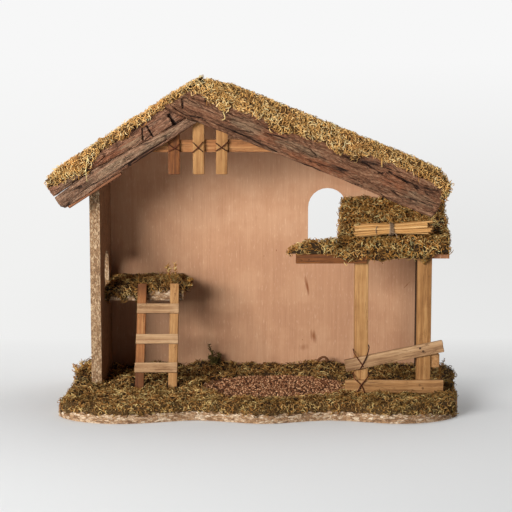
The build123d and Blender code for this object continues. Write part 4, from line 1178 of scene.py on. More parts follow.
@dataclass
class Strip:
    """A sawn strip in the place of a CAD node, slightly bowed, with eased edges and uneven ends."""

    node: str
    length: float
    width: float
    thickness: float
    place: Matrix
    seed: int
    ease: float = 0.55
    bow: float = 0.35

    def _section(self) -> list[Point2]:
        """Corners of the rounded section, turning from +Y to +Z."""
        half_width = self.width / 2
        half_depth = self.thickness / 2
        corners = [(1, 1), (-1, 1), (-1, -1), (1, -1)]
        points = []
        for index, (side, face) in enumerate(corners):
            for step in range(3):
                angle = math.radians(90 * index + 45 * step)
                y = side * (half_width - self.ease) + self.ease * math.cos(angle)
                z = face * (half_depth - self.ease) + self.ease * math.sin(angle)
                points.append((y, z))
            if index in (0, 2):
                for share in (0.25, 0.5, 0.75):
                    reach = side * (half_width - self.ease) * (1 - 2 * share)
                    points.append((reach, face * half_depth))
        return points

    def build(self, shop: Workshop, slot: Slot, finish: str, body: Body = Body.STABLE) -> None:
        """Build the strip, with the grain attribute on its vertices.

        Args:
            shop: Dresses it.
            slot: Its slot in the record.
            finish: Name of its finish.
            body: The body that it moves with.
        """
        rng = random.Random(self.seed)
        shift = Vector((rng.uniform(-500, 500), rng.uniform(-50, 50), rng.uniform(-50, 50)))
        section = self._section()
        count = max(8, int(self.length / 3))
        stations = [-self.length / 2 + self.length * i / count for i in range(count + 1)]
        rings = [(stations[0], 0), (stations[0], 1)] + [(x, 1) for x in stations[1:-1]]
        rings += [(stations[-1], 1), (stations[-1], 0)]
        local = []
        for index, (x, full) in enumerate(rings):
            is_end = index < 2 or index > len(rings) - 3
            ease = 0 if full else self.ease * 0.8
            inward = self.ease * 0.7 if full and is_end else 0
            sway_y = wobble(x / 60 + self.seed, 3.1) * self.bow
            sway_z = wobble(x / 60 + self.seed, 9.7) * self.bow * 0.6
            for y, z in section:
                shrink_y = max(0, 1 - ease / (self.width / 2))
                shrink_z = max(0, 1 - ease / (self.thickness / 2))
                uneven = wobble(x / 9 + self.seed, y / 4, z / 4) * 0.09
                along = x + (inward if x < 0 else -inward)
                if is_end:
                    along += wobble(y / 2.5 + self.seed, z / 2.5, x) * 0.35
                local.append(Vector((along, y * shrink_y + sway_y, z * shrink_z + sway_z + uneven)))
        size = len(section)
        first = len(local)
        last = first + 1
        top = first - size
        faces = []
        for i in range(size):
            after = (i + 1) % size
            faces += [(a + i, a + size + i, a + size + after, a + after) for a in range(0, top, size)]
            faces += [(first, i, after), (last, top + after, top + i)]
        local += [sum(local[:size], Vector()) / size, sum(local[top:], Vector()) / size]
        name = self.node + "_strip"
        mesh = mesh_from(name, [self.place @ point for point in local], faces)
        keep_vectors(mesh, "grain", [(point + shift) * MM for point in local])
        close_outwards(mesh)
        soften(mesh)
        shop.dress(new_object(name, mesh), slot, finish, [self.node], body)


def lying(x: float, y: float, z: float, turn: float = 0.0) -> Matrix:
    """Place of a strip along X that faces the front, turned in the XZ plane by degrees."""
    return Matrix.Translation((x, y, z)) @ turned(-turn, "Y") @ turned(90, "X")


def standing(x: float, y: float, z: float) -> Matrix:
    """Place of an upright strip whose wide face is to the front."""
    return lying(x, y, z, 90)


@dataclass(frozen=True)
class Slope:
    """One roof slope, measured along it from the ridge corner and lifted square to it."""

    side: Side
    degrees: float
    run: float
    lip: tuple[Point2, ...]
    ridge: Point2 = (-61, 270.8)

    def point(self, along: float, lift: float, y: float) -> Vector:
        """A place on the slope.

        Args:
            along: Distance down the slope.
            lift: Distance square to it.
            y: Depth.

        Returns:
            The place in millimetres.
        """
        turn = math.radians(self.degrees)
        x = self.ridge[0] + self.side.value * (along * math.cos(turn) + lift * math.sin(turn))
        return Vector((x, y, self.ridge[1] - along * math.sin(turn) + lift * math.cos(turn)))

    def settle(self, place: Vector) -> Vector:
        """Keep a place of the moss under the rounded ridge and, at the front, above the measured lip."""
        place.z = min(place.z, 309.5 - min(4, (place.x + 57) ** 2 / 90))
        turn = math.radians(self.degrees)
        across = self.side.value * (place.x - self.ridge[0])
        rise = place.z - self.ridge[1]
        along = across * math.cos(turn) - rise * math.sin(turn)
        lift = across * math.sin(turn) + rise * math.cos(turn)
        least = min(33, ramp(self.lip, along) + 2.6)
        if place.y < -22 and lift < least:
            return self.point(along, least, place.y)
        return place


LEFT = Slope(
    Side.LEFT, 32.6, 148.6,
    ((-12, 31), (8, 31), (17, 31), (21, 29), (25.7, 27.5), (37.9, 26.1), (47, 26.4), (56.1, 26.7),
     (61, 24.3), (66.5, 22.2), (74, 25), (83.1, 25.4), (94.5, 24.3), (107.1, 18.4), (114.8, 13), (123.3, 17),
     (138.2, 19), (150.5, 22.5)),
)
RIGHT = Slope(
    Side.RIGHT, 21.7, 238.5,
    ((-13.6, 20.2), (-6.9, 24.6), (5.7, 17.9), (12, 20.9), (18.7, 14.8), (27.2, 23.1), (37.6, 22.3),
     (57.3, 23.4), (66.5, 17.1), (78.4, 16.8), (88, 22.3), (104.9, 22.3), (122.6, 24.3), (133.4, 18.5),
     (141.5, 23.4),
     (150.3, 18.5), (155, 23.7), (164.2, 33.6), (174.7, 33.3), (195.2, 33), (204.9, 30.1), (223.9, 29.2),
     (232.1, 25.8), (243.9, 22)),
)


@dataclass(frozen=True)
class BarkSlab:
    """A slab of bark on a roof edge in the place of a CAD node, as a grid between two edges."""

    node: str
    slot: Slot
    finish: str
    slope: Slope
    lower: list[Point2]
    upper: list[Point2]
    seed: int
    front: float = -28.0
    back: float = -18.0
    depth: float = 2.8
    step: float = 0.66
    crown: float = 2.2
    seams: list[tuple[float, float, list[Point2]]] = field(default_factory=list)
    reds: list[tuple[float, float, float, float]] = field(default_factory=list)
    greys: list[tuple[float, float, float, float]] = field(default_factory=list)

    def _within(self, patches: list[tuple[float, float, float, float]], along: float, lift: float) -> float:
        """How far a place lies inside any of some oval patches with ragged edges, 0 to 1."""
        best = 0
        ragged = wobble(along / 7, lift / 2.4, self.seed) * 0.6
        for middle, height, half_length, half_height in patches:
            far = math.hypot((along - middle) / half_length, (lift - height) / half_height) + ragged
            best = max(best, min(1, (1.25 - far) * 2))
        return best

    def _relief(self, along: float, lift: float, share: float) -> tuple[float, float]:
        """How far the face stands out, and how much of the outer layer is left.

        Args:
            along: Distance down the slope.
            lift: Distance square to it.
            share: Where between the lower edge, 0, and the upper edge, 1.

        Returns:
            The relief, -1 to 1, and the layer, 0 to 1.
        """
        bend = wobble(along / 40 + self.seed, lift / 30) * 5
        plates = wobble(along / 48 + self.seed * 2, (lift + bend) / 7.5, 4) * 1.6 + 0.1
        levels = 3
        stepped = math.floor(plates * levels) / levels
        edge = plates * levels - math.floor(plates * levels)
        layer = stepped + (1 / levels) * min(1, edge * 5)
        fibre = wobble(along / 14 + self.seed, (lift + bend) / 1.2, 2) * 0.42
        fibre += wobble(along / 6 + self.seed, (lift + bend) / 0.8, 7) * 0.2
        fissure = max(0, ridged(along / 36 + self.seed, (lift + bend) / 6, 9) - 0.86) / 0.14
        gate = max(0, min(1, 0.5 + wobble(along / 20, lift / 9, self.seed) * 2.2))
        rounding = -abs(share * 2 - 1) ** 5
        relief = layer * 0.75 + fibre - fissure * gate * 1.1 + rounding * 0.6
        bent = wobble(along / 5, lift / 3, self.seed) * 0.9
        for half, strength, line in self.seams:
            off = far_from(line, along + bent, lift + bent * 0.5) / half
            if off < 1:
                relief -= strength * (1 - off * off)
        return relief, max(0, min(1, 0.55 + layer * 0.9))

    def build(self, shop: Workshop) -> None:
        """Build the slab, with the attributes that its finish reads."""
        start = self.lower[0][0]
        end = self.lower[-1][0]
        columns = max(4, int((end - start) / self.step))
        tallest = max(ramp(self.upper, a) - ramp(self.lower, a) for a, _ in self.upper)
        rows = max(6, int(tallest / self.step))
        points = []
        grain = []
        looks = []
        for i in range(columns + 1):
            along = start + (end - start) * i / columns
            low = ramp(self.lower, along) + wobble(along / 7, self.seed) * 0.45
            high = ramp(self.upper, along) + wobble(along / 9, self.seed + 7) * 0.6
            high = max(high, low + 0.8)
            for j in range(rows + 1):
                share = j / rows
                lift = low + (high - low) * share
                height, layer = self._relief(along, lift, share)
                ragged = wobble(lift / 2.2, self.seed, along / 50) * 0.8 if i in (0, columns) else 0
                bulge = self.crown * (1 - (2 * share - 1) ** 2) - self.crown
                y = self.front - bulge - height * self.depth * 0.7
                points.append(self.slope.point(along + ragged, lift, min(y, self.back - 1.5)))
                grain.append(Vector((along + self.seed * 31, lift, y)) * MM)
                looks.append((
                    max(0, min(1, 0.55 + height * 0.6)), layer, self._within(self.reds, along, lift),
                    self._within(self.greys, along, lift), 0,
                ))
        front_count = len(points)
        for i in range(columns + 1):
            along = start + (end - start) * i / columns
            for j in (0, rows):
                source = points[i * (rows + 1) + j]
                points.append(Vector((source.x, self.back, source.z)))
                grain.append(Vector((along + self.seed * 31, j, self.back)) * MM)
                looks.append((0.7, 0.3, 0, 0, 1))
        faces = []
        high_row = rows + 1
        for i in range(columns):
            for j in range(rows):
                a = i * high_row + j
                b = (i + 1) * high_row + j
                faces.append((a, b, b + 1, a + 1))
            for j, edge in ((0, 0), (rows, 1)):
                a = i * high_row + j
                b = (i + 1) * high_row + j
                c = front_count + i * 2 + edge
                faces.append((a, c, c + 2, b))
            c = front_count + i * 2
            faces.append((c, c + 1, c + 3, c + 2))
        for i in (0, columns):
            c = front_count + i * 2
            faces.append([i * high_row + j for j in range(rows + 1)] + [c + 1, c])
        mesh = mesh_from(self.node + "_slab", points, faces)
        keep_vectors(mesh, "grain", grain)
        for name, values in zip(("relief", "layer", "red", "grey", "sawn"), zip(*looks)):
            keep_values(mesh, name, values)
        close_outwards(mesh)
        soften(mesh, 50)
        shop.dress(new_object(mesh.name, mesh), self.slot, self.finish, [self.node])


@dataclass
class MossGrowth:
    """How the strands of one stretch of moss grow."""

    finish: str
    density: float
    back_share: float = 0.45
    length: float = 6.2
    thickness: float = 0.82
    curl: float = 4.0
    tilt: float = 0.8
    lowest_normal: float = -0.35
    seed: int = 1

    def share_at(self, y: float) -> float:
        """Share of the strands that grow at a depth in metres."""
        low, high = (edge * MM for edge in FRONT_BAND)
        return 1.0 + (self.back_share - 1.0) * max(0.0, min(1.0, (y - low) / (high - low)))


@dataclass
class MossPatch:
    """Moss in the place of a CAD node: a lumpy bed and curly strands over it."""

    node: str
    slot: Slot
    growth: MossGrowth
    bed_finish: str = "moss_bed"
    voxel: float = 2.2
    lumps: float = 1.5
    inset: float = 2.2
    rounds: int = 3
    keep_off: Optional[FaceTest] = None
    reshape: Optional[Callable[[Vector], Vector]] = None

    def bed_mesh(self) -> Mesh:
        """Make the lumpy closed bed from a copy of the node's shape.

        Returns:
            The mesh of the bed.
        """
        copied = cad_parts[self.node].data.copy()
        close_outwards(copied)
        carrier = new_object("carrier", copied)
        remesh = carrier.modifiers.new("even", "REMESH")
        remesh.mode = "VOXEL"
        remesh.voxel_size = self.voxel * MM
        mesh = evaluated(self.node + "_bed", carrier)
        for vertex, normal in [(vertex, vertex.normal.copy()) for vertex in mesh.vertices]:
            if normal.z > -0.3:
                vertex.co -= normal * (self.inset * MM)
        axes = {"use_axis_x": True, "use_axis_y": True, "use_axis_z": True}
        work = bmesh.new()
        work.from_mesh(mesh)
        for _ in range(self.rounds):
            bmesh.ops.smooth_vert(work, verts=work.verts, factor=0.5, **axes)
        work.to_mesh(mesh)
        work.free()
        mesh.update()
        for vertex, normal in [(vertex, vertex.normal.copy()) for vertex in mesh.vertices]:
            place = vertex.co * 1000
            lump = 1.1 * wobble(*(place / 13)) + 0.6 * wobble(*(place / 5))
            if normal.z > -0.3:
                place += normal * (lump * self.lumps)
            if self.reshape is not None:
                place = self.reshape(place)
            vertex.co = place * MM
        mesh.update()
        return mesh

    def build(self, shop: Workshop) -> None:
        """Build the bed and the strands, split so that no piece is too heavy."""
        mesh = self.bed_mesh()
        soften(mesh, 180)
        shop.dress(new_object(mesh.name, mesh), self.slot, self.bed_finish, [self.node])
        ground = mesh if self.keep_off is None else without_faces(mesh, self.keep_off)
        grow_strands(shop, self.node, self.slot, ground, self.growth)


def grow_strands(shop: Workshop, name: str, slot: Slot, bed: Mesh, growth: MossGrowth) -> None:
    """Grow the strands of one bed, in as many pieces as keep each under the limit.

    Args:
        shop: Grows and dresses them.
        name: First part of the pieces' names.
        slot: Their slot in the record.
        bed: Mesh that they grow on.
        growth: How they grow.
    """
    xs = [vertex.co.x for vertex in bed.vertices]
    low = min(xs)
    high = max(xs)
    open_faces = [face for face in bed.polygons if face.normal.z > growth.lowest_normal]
    area = sum(face.area * growth.share_at(face.center.y) for face in open_faces)
    parts = max(1, math.ceil(area * growth.density * STRAND_TRIANGLES / PIECE_TRIANGLES))
    for part in range(parts):
        left = low - 0.01 if part == 0 else low + (high - low) * part / parts
        right = high + 0.01 if part == parts - 1 else low + (high - low) * (part + 1) / parts
        piece = shop.grow(
            f"{name}_strands_{part + 1}", bed.copy(), shop.strands,
            density=growth.density, back_share=growth.back_share, length=growth.length * MM,
            thickness=growth.thickness * MM, curl=growth.curl * MM, tilt=growth.tilt,
            lowest_normal=growth.lowest_normal, left_end=left, right_end=right,
            seed=growth.seed * 100 + part * 10, finish=shop.finishes[growth.finish],
        )
        shop.dress(piece, slot)


def hang_curtain(
    shop: Workshop, name: str, slot: Slot, grid: tuple[int, int], place: CurtainPlace, growth: MossGrowth,
    bed_finish: str = "moss_bed",
) -> None:
    """Add a curtain of moss: its bed, and strands on the sides that don't face the back.

    Args:
        shop: Grows and dresses it.
        name: First part of the pieces' names.
        slot: Their slot in the record.
        grid: Steps along the curtain and up it.
        place: Gives a place on it, as curtain_mesh takes it.
        growth: How its strands grow.
        bed_finish: Name of the bed's finish.
    """
    mesh = curtain_mesh(name + "_bed", *grid, place)
    shop.dress(new_object(mesh.name, mesh), slot, bed_finish)
    front = without_faces(mesh, lambda middle, normal: normal.y > 0.3)
    grow_strands(shop, name, slot, front, growth)


@dataclass
class MossFringe:
    """Moss that hangs from the roof moss over the front of the bark."""

    name: str
    slope: Slope
    upper: float
    growth: MossGrowth
    clear: float = 3.0
    front: float = -30.6
    back: float = -27.5
    step: float = 1.5

    def _place(self, share_along: float, share_up: float, layer: int) -> Vector:
        """A place on the curtain."""
        start = self.slope.lip[0][0]
        along = start + (self.slope.lip[-1][0] - start) * share_along
        low = ramp(self.slope.lip, along) + self.clear + wobble(along / 3.5, 2.0, self.growth.seed) * 1.2
        low = min(low, self.upper - 1)
        lift = low + (self.upper - low) * share_up
        full = min(1, 0.15 + share_up * 2.5)
        lump = wobble(along / 4, lift / 4, self.growth.seed) * 0.9
        y = self.back if layer else self.back + (self.front - self.back - lump) * full
        return self.slope.point(along, lift, y)

    def build(self, shop: Workshop) -> None:
        """Build the curtain and its strands."""
        columns = int((self.slope.lip[-1][0] - self.slope.lip[0][0]) / self.step)
        hang_curtain(
            shop, self.name, Slot.ROOF_MOSS, (columns, 10), self._place, self.growth, "roof_moss_bed"
        )


@dataclass(frozen=True)
class Sprig:
    """An upright twig of moss: a stem with short side leaves."""

    root: Point3
    tip: Point3
    leaves: int
    leaf: float
    seed: int

    def paths(self) -> list[list[Vector]]:
        """Lines of the stem and of every leaf."""
        rng = random.Random(self.seed)
        root = Vector(self.root)
        tip = Vector(self.tip)
        side = Vector((rng.uniform(-1, 1), rng.uniform(-1, 1), 0)) * (tip - root).length * 0.14
        stem = smooth_path([tuple(root), tuple((root + tip) / 2 + side), tuple(tip)], 5)
        lines = [stem]
        for i in range(self.leaves):
            share = 0.12 + 0.86 * i / self.leaves
            base = stem[min(len(stem) - 1, int(share * len(stem)))]
            turn = rng.uniform(0, math.tau)
            out = Vector((math.cos(turn), math.sin(turn), rng.uniform(0.1, 1.1)))
            reach = self.leaf * (1.2 - share * 0.7) * rng.uniform(0.6, 1.3)
            bend = Vector((rng.uniform(-1, 1), rng.uniform(-1, 1), rng.uniform(-1, 0.6))) * reach * 0.35
            end = base + out.normalized() * reach
            lines.append(smooth_path([tuple(base), tuple((base + end) / 2 + bend), tuple(end)], 2))
        return lines


def path_mesh(name: str, lines: Iterable[Sequence[Vector]]) -> Mesh:
    """Make a mesh of loose edges that follows lines, for the rod tree."""
    points: list[Vector] = []
    edges = []
    for line in lines:
        start = len(points)
        points.extend(line)
        edges.extend((start + i, start + i + 1) for i in range(len(line) - 1))
    return mesh_from(name, points, [], edges)


def add_rods(
    shop: Workshop, name: str, lines: Iterable[Sequence[Vector]], slot: Slot, finish: str, radius: float,
    seed: int, spread: float = 0.3, taper: float = 0.6, sides: int = 3, nodes: Sequence[str] = (),
) -> None:
    """Add one piece of rods that follow lines.

    Args:
        shop: Grows and dresses them.
        name: Name of the piece.
        lines: Their middle lines, in millimetres.
        slot: Slot in the record.
        finish: Name of the finish.
        radius: Radius in millimetres.
        seed: Seed of the random sizes and tones.
        spread: How much the radii differ.
        taper: Share of the radius that is lost along a rod.
        sides: Sides of a rod.
        nodes: CAD nodes that the piece stands for.
    """
    piece = shop.grow(
        name, path_mesh(name + "_lines", lines), shop.rods, radius=radius * MM, spread=spread, taper=taper,
        sides=sides, seed=seed, finish=shop.finishes[finish],
    )
    shop.dress(piece, slot, nodes=nodes)


def add_sprigs(
    shop: Workshop, name: str, sprigs: Iterable[Sprig], radius: float, seed: int,
    finish: str = "lean_moss_strands",
) -> None:
    """Add one piece of moss sprigs, with rods of a radius in millimetres."""
    lines = [line for sprig in sprigs for line in sprig.paths()]
    add_rods(shop, name, lines, Slot.MOSS, finish, radius, seed)


@dataclass
class Ground:
    """Base board, moss, grit path and the plants that stand on the ground."""

    path_middle: Point2 = (12.5, -8.5)
    path_half: Point2 = (77, 59)
    mounds: tuple[tuple[float, float, float, float], ...] = (
        (60, 88, 13, 3.6), (-181, 31, 8.5, 7), (181, 22, 9, 6), (182, 52, 9, 4),
        (-128, -2, 10, 2), (-86, -14, 8, 2.4), (-60, 86, 14, 2.5),
    )
    sprigs: tuple[Sprig, ...] = (
        Sprig((-177, 30, 18), (-180, 28, 32), 70, 6.5, 7),
        Sprig((-172, 32, 18), (-171.5, 27, 29.5), 44, 5.5, 8),
        Sprig((-183, 30, 16), (-187.5, 27, 29), 60, 5.5, 13),
        Sprig((-180, 25, 18), (-183, 22, 25.5), 60, 6, 16),
        Sprig((176, 10, 18), (175, 6, 33), 18, 4, 10),
        Sprig((179.4, 28, 24), (183.2, 28, 34.5), 14, 3.5, 12),
    )
    plants: tuple[Sprig, ...] = (
        Sprig((-50, 91, 16), (-55.2, 90, 38), 54, 4.4, 5),
        Sprig((-49, 90, 16), (-45.5, 89, 29), 56, 5.4, 6),
        Sprig((-50, 90, 16), (-54, 88, 27), 56, 5.4, 14),
        Sprig((-48, 88, 16), (-49, 86, 25), 50, 6, 18),
    )

    def build(self, shop: Workshop) -> None:
        """Build every piece of the ground."""
        shop.repaint("flat_chipboard", "base_board")
        growth = MossGrowth("ground_moss_strands", 3.6e5, back_share=0.55, seed=3, lowest_normal=-0.25)
        MossPatch(
            "ground_moss", Slot.MOSS, growth, voxel=2.4, lumps=2.4, inset=1.9, keep_off=self._under_ladder,
            reshape=self._heap,
        ).build(shop)
        self._edge(shop)
        self._path(shop)
        add_sprigs(shop, "green_sprigs", self.plants, 0.55, 15, "sprig_green")
        add_sprigs(shop, "moss_sprigs", self.sprigs, 0.46, 17)
        twig = smooth_path([
            (58.5, 85, 22), (61, 83.5, 25), (65, 83, 26.6), (68.6, 83.5, 24.6), (68, 84.5, 21.5),
        ])
        add_rods(shop, "curled_twig", [twig], Slot.MOSS, "twig", 1.5, 75, spread=0.05, taper=0.3, sides=7)

    def _heap(self, place: Vector) -> Vector:
        """Raise the top of the moss into its mounds, and make it uneven along the back wall."""
        if place.z > 13:
            for x, y, radius, rise in self.mounds:
                place.z += rise * math.exp(-((place.x - x) ** 2 + (place.y - y) ** 2) / radius ** 2)
            place.z += max(0, place.y - 70) / 30 * 2.6 * max(0, wobble(place.x / 9, 4) + 0.1)
        if place.x > 165 and place.z > 12:
            place.x += 7 * math.exp(-((place.y - 30) / 28) ** 2) * min(1, (place.z - 12) / 5)
        return place

    @staticmethod
    def _under_ladder(middle: Vector, normal: Vector) -> bool:
        """Whether a face of the moss is where a foot of the ladder stands."""
        return -22 < middle.y < 8 and 9.5 < abs(middle.x - Ladder.foot[0]) < 25.5

    def _edge(self, shop: Workshop) -> None:
        """Build the moss that laps over the front edge of the base."""
        corners = {}
        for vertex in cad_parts["base_board"].data.vertices:
            x, y, z = vertex.co * 1000
            if z > 9.5 and y < -60:
                corners[round(x, 2)] = min(y, corners.get(round(x, 2), 0))
        front = sorted(corners.items())

        def place(share_along: float, share_up: float, layer: int) -> Vector:
            """A place on the lap."""
            x = front[0][0] + 2 + (front[-1][0] - front[0][0] - 4) * share_along
            deeper = 3.5 * max(0, abs(x + 8) / 178 - 0.9) / 0.1
            low = 9.4 - 2.1 * (0.5 + wobble(x / 4.5, 6)) - max(0, wobble(x / 13, 1)) * 2.4 - min(4.5, deeper)
            z = low + (15.6 - low) * share_up
            lean = max(0, z - 10) * 0.8
            depth = 0 if layer else 0.8 * min(1, share_up * 4) + 0.5 * wobble(x / 3, z / 3)
            return Vector((x, ramp(front, x) - 0.1 - depth + lean, z))

        growth = MossGrowth(
            "ground_moss_strands", 4.4e5, length=5.0, thickness=0.72, lowest_normal=-1.1, tilt=0.9, seed=7
        )
        hang_curtain(shop, "edge_moss", Slot.MOSS, (250, 6), place, growth, "edge_moss_bed")

    def _rim(self, share_along: float, share_up: float, layer: int) -> Vector:
        """A place on the ragged ring of moss that creeps over the rim of the path."""
        turn = math.tau * share_along
        dx = math.cos(turn)
        dy = math.sin(turn)
        inner = 0.9 + 0.14 * max(0, dy) + wobble(dx * 3, dy * 3, 3) * 0.2 + wobble(dx * 9, dy * 9, 5) * 0.15
        reach = 1.06 + (min(inner, 1.04) - 1.06) * share_up
        x = self.path_middle[0] + self.path_half[0] * reach * dx
        y = self.path_middle[1] + self.path_half[1] * reach * dy
        return Vector((x, y, 12 if layer else 15.4 - 2.4 * share_up ** 2 + wobble(x / 5, y / 5) * 0.8))

    def _path(self, shop: Workshop) -> None:
        """Build the grit path: a rough bed, loose grains on it, and moss over its rim."""
        growth = MossGrowth("grit_grains", 0.0)
        mesh = MossPatch("gravel_path", Slot.GRAVEL, growth, lumps=0.8, inset=0.0, rounds=1).bed_mesh()
        soften(mesh, 180)
        shop.dress(new_object("gravel_bed", mesh), Slot.GRAVEL, "grit_bed", ["gravel_path"])
        grains = shop.grow(
            "gravel_grains", mesh.copy(), shop.grains, density=2.7e5, size=2.6 * MM, lowest_normal=0.3,
            seed=71, finish=shop.finishes["grit_grains"],
        )
        shop.dress(grains, Slot.GRAVEL)
        growth = MossGrowth("ground_moss_strands", 4.4e5, back_share=0.6, lowest_normal=0.0, seed=73)
        hang_curtain(shop, "path_rim", Slot.MOSS, (140, 4), self._rim, growth)


@dataclass
class Walls:
    """The two chipboard side walls and the plywood back wall."""

    coats: tuple[tuple[str, str], ...] = (
        ("upright_chipboard", "left_wall"), ("shaded_chipboard", "right_wall"),
        ("plywood_veneer", "back_wall"), ("dull_nail_steel", "back_wall_nails"),
    )

    def build(self, shop: Workshop) -> None:
        """Give the walls their finishes."""
        for finish, node in self.coats:
            shop.repaint(finish, node)


BARK_SLABS = (
    BarkSlab(
        "right_bark", Slot.BARK, "red_bark", RIGHT,
        [(-35.4, 1), (-23.7, -0.1), (-7.9, 0.4), (0, 0), (RIGHT.run * 0.3, 0), (RIGHT.run * 0.62, 0.4),
         (212, -1.4), (RIGHT.run + 0.5, -1.6), (RIGHT.run + 3, 4)],
        [(-35.4, 3.4), (-31.5, 11), (-27, 17.5), (-22.5, 24), (-16, 28.5), (0, 31.5), (155, 30.5),
         (162, 36), (198, 36), (212, 32.5), (RIGHT.run + 3, 30)],
        seed=11,
        seams=[
            (1.1, 0.9, [
                (-24.2, 4.4), (-11.8, 2.6), (3.9, 5.5), (24.2, 5.2), (44.4, 4.9), (61.9, 3.5), (79.3, 2),
            ]),
            (1.2, 1, [(185.5, 23.7), (193.3, 22.1), (213.3, 20.6), (235.6, 24.4)]),
            (1, 0.8, [(158.3, 23), (184.7, 18.3)]),
            (1.2, 1, [(-20.5, 14.2), (-17.8, 7.3)]),
            (0.8, 0.6, [(88, 9), (112, 6.2), (141, 7.5), (160, 5)]),
            (0.8, 0.6, [(20, 13.5), (41, 16), (58, 14.5)]),
        ],
        reds=[(67, 11, 12, 5), (118, 5, 30, 5), (192, 18, 15, 6)],
        greys=[(100, 13, 25, 4), (45, 14, 15, 6), (222, 10, 14, 6)],
    ),
    BarkSlab(
        "left_upper_bark", Slot.BARK, "upper_bark", LEFT,
        [(7, 9.6), (20, 9.5), (110, 16.3), (148.6, 14.5), (152.8, 14.8)],
        [(7, 10.4), (8.6, 11.6), (13.8, 20.4), (18.6, 29), (26, 30), (60, 29), (96, 28), (152.8, 27)],
        seed=5, depth=2.5, crown=1.8,
        seams=[
            (1.9, 2.2, [(18.7, 20), (19, 9.2)]), (0.9, 1.4, [(46.6, 23.5), (52.3, 13.8)]),
            (0.9, 1.4, [(41.6, 22.5), (43, 10.1)]), (0.9, 1, [(130.7, 16.1), (114.6, 14.8)]),
        ],
        reds=[(10.5, 14, 4, 7), (80, 18, 30, 3)],
        greys=[(62, 17, 12, 4), (128, 19, 14, 3)],
    ),
    BarkSlab(
        "left_lower_bark", Slot.GREY_BARK, "grey_bark", LEFT,
        [(1, 0.2), (146.6, -0.3), (150, -0.3), (152.4, 3)],
        [(1, 1.5), (6.7, 8.9), (20, 9), (110, 15.8), (146.6, 14), (152.4, 13.4)],
        seed=23, depth=2.2, crown=2.6,
        seams=[
            (0.9, 0.9, [(116.4, 4.3), (108.2, 2.9), (87.6, 2.7), (61.6, 2.8), (45, 2.4), (23.6, 1.5)]),
            (0.9, 0.9, [(147, 11.1), (124.9, 9.1)]),
        ],
        reds=[(70, 0.5, 60, 2.2)],
        greys=[(40, 6, 22, 2.4), (95, 8, 26, 3)],
    ),
)


@dataclass
class Roof:
    """Panels, bark fascias and moss of the main roof."""

    slabs: tuple[BarkSlab, ...] = BARK_SLABS
    hanging: tuple[tuple[Point2, ...], ...] = (
        ((-163.5, 240), (-165.8, 227), (-164.8, 215)),
        ((-175.9, 236.7), (-177.1, 229.1), (-172.9, 222.7), (-172.4, 217.3)),
        ((-156.4, 244.3), (-155.3, 238.9), (-159.6, 237.8)),
        ((-124.7, 266.9), (-123.7, 262.6), (-125.9, 256.2)),
        ((-111.7, 275.4), (-108.5, 271.2), (-111.8, 266.3), (-115, 269)),
        ((-143.2, 256.2), (-141.1, 249.6)), ((112.2, 236.9), (112.3, 228.9)),
        ((111.6, 237.2), (111.4, 230.9)), ((146.8, 224.4), (146.9, 215.5)),
        ((-36.6, 280.6), (-35, 274.5), (-38.1, 272.9)), ((-52.1, 291.5), (-51.8, 285.9)),
    )

    def build(self, shop: Workshop) -> None:
        """Build the roof."""
        shop.repaint("roof_veneer", "left_roof_panel", "right_roof_panel")
        for slab in self.slabs:
            slab.build(shop)
        place = Matrix.Translation(LEFT.point(117, -1.3, -21)) @ turned(-LEFT.degrees, "Y")
        splint = Strip("left_bark_splint", 60, 5.6, 3, place, 31, ease=0.7, bow=0.5)
        splint.build(shop, Slot.BARK, "splint_bark")
        for name, slope, inset, seed, upper in (("left", LEFT, 0.3, 11, 31.5), ("right", RIGHT, 2, 13, 34.5)):
            growth = MossGrowth(
                "roof_moss_strands", 4.8e5, back_share=0.42, length=6.0, thickness=0.74, curl=3.3, tilt=0.7,
                lowest_normal=-0.6, seed=seed,
            )
            patch = MossPatch(name + "_roof_moss", Slot.ROOF_MOSS, growth, "roof_moss_bed", inset=inset)
            patch.reshape = slope.settle
            patch.build(shop)
            growth = MossGrowth("roof_moss_strands", 4.4e5, lowest_normal=-1.1, tilt=0.9, seed=19)
            MossFringe(name + "_fringe", slope, upper, growth).build(shop)
        self._loose(shop)

    def _loose(self, shop: Workshop) -> None:
        """Hang loose strands from the fringes, and a curly tuft at the right eave."""
        lines = [
            smooth_path([(x, -32.8 - 0.3 * (i % 3), z) for x, z in line], 5)
            for i, line in enumerate(self.hanging)
        ]
        add_rods(
            shop, "loose_strands", lines, Slot.ROOF_MOSS, "lean_moss_strands", 0.42, 67, taper=0.3, sides=5
        )

        def place(share_along: float, share_up: float, layer: int) -> Vector:
            """A place on the moss that hangs from the roof's right end."""
            y = -31 + 60 * share_along
            low = 198 + wobble(y / 5, 2) * 3 + 10 * share_along
            z = low + (214 - low) * share_up
            x = 173 + 1.6 * min(1, share_up * 2.5) - (2.2 if layer else 0) - 0.5 * (1 - share_up)
            return Vector((x, y, z))

        growth = MossGrowth("lean_moss_strands", 4.6e5, back_share=0.6, lowest_normal=-1.1, tilt=1.0, seed=79)
        hang_curtain(shop, "eave_tuft", Slot.ROOF_MOSS, (24, 6), place, growth)


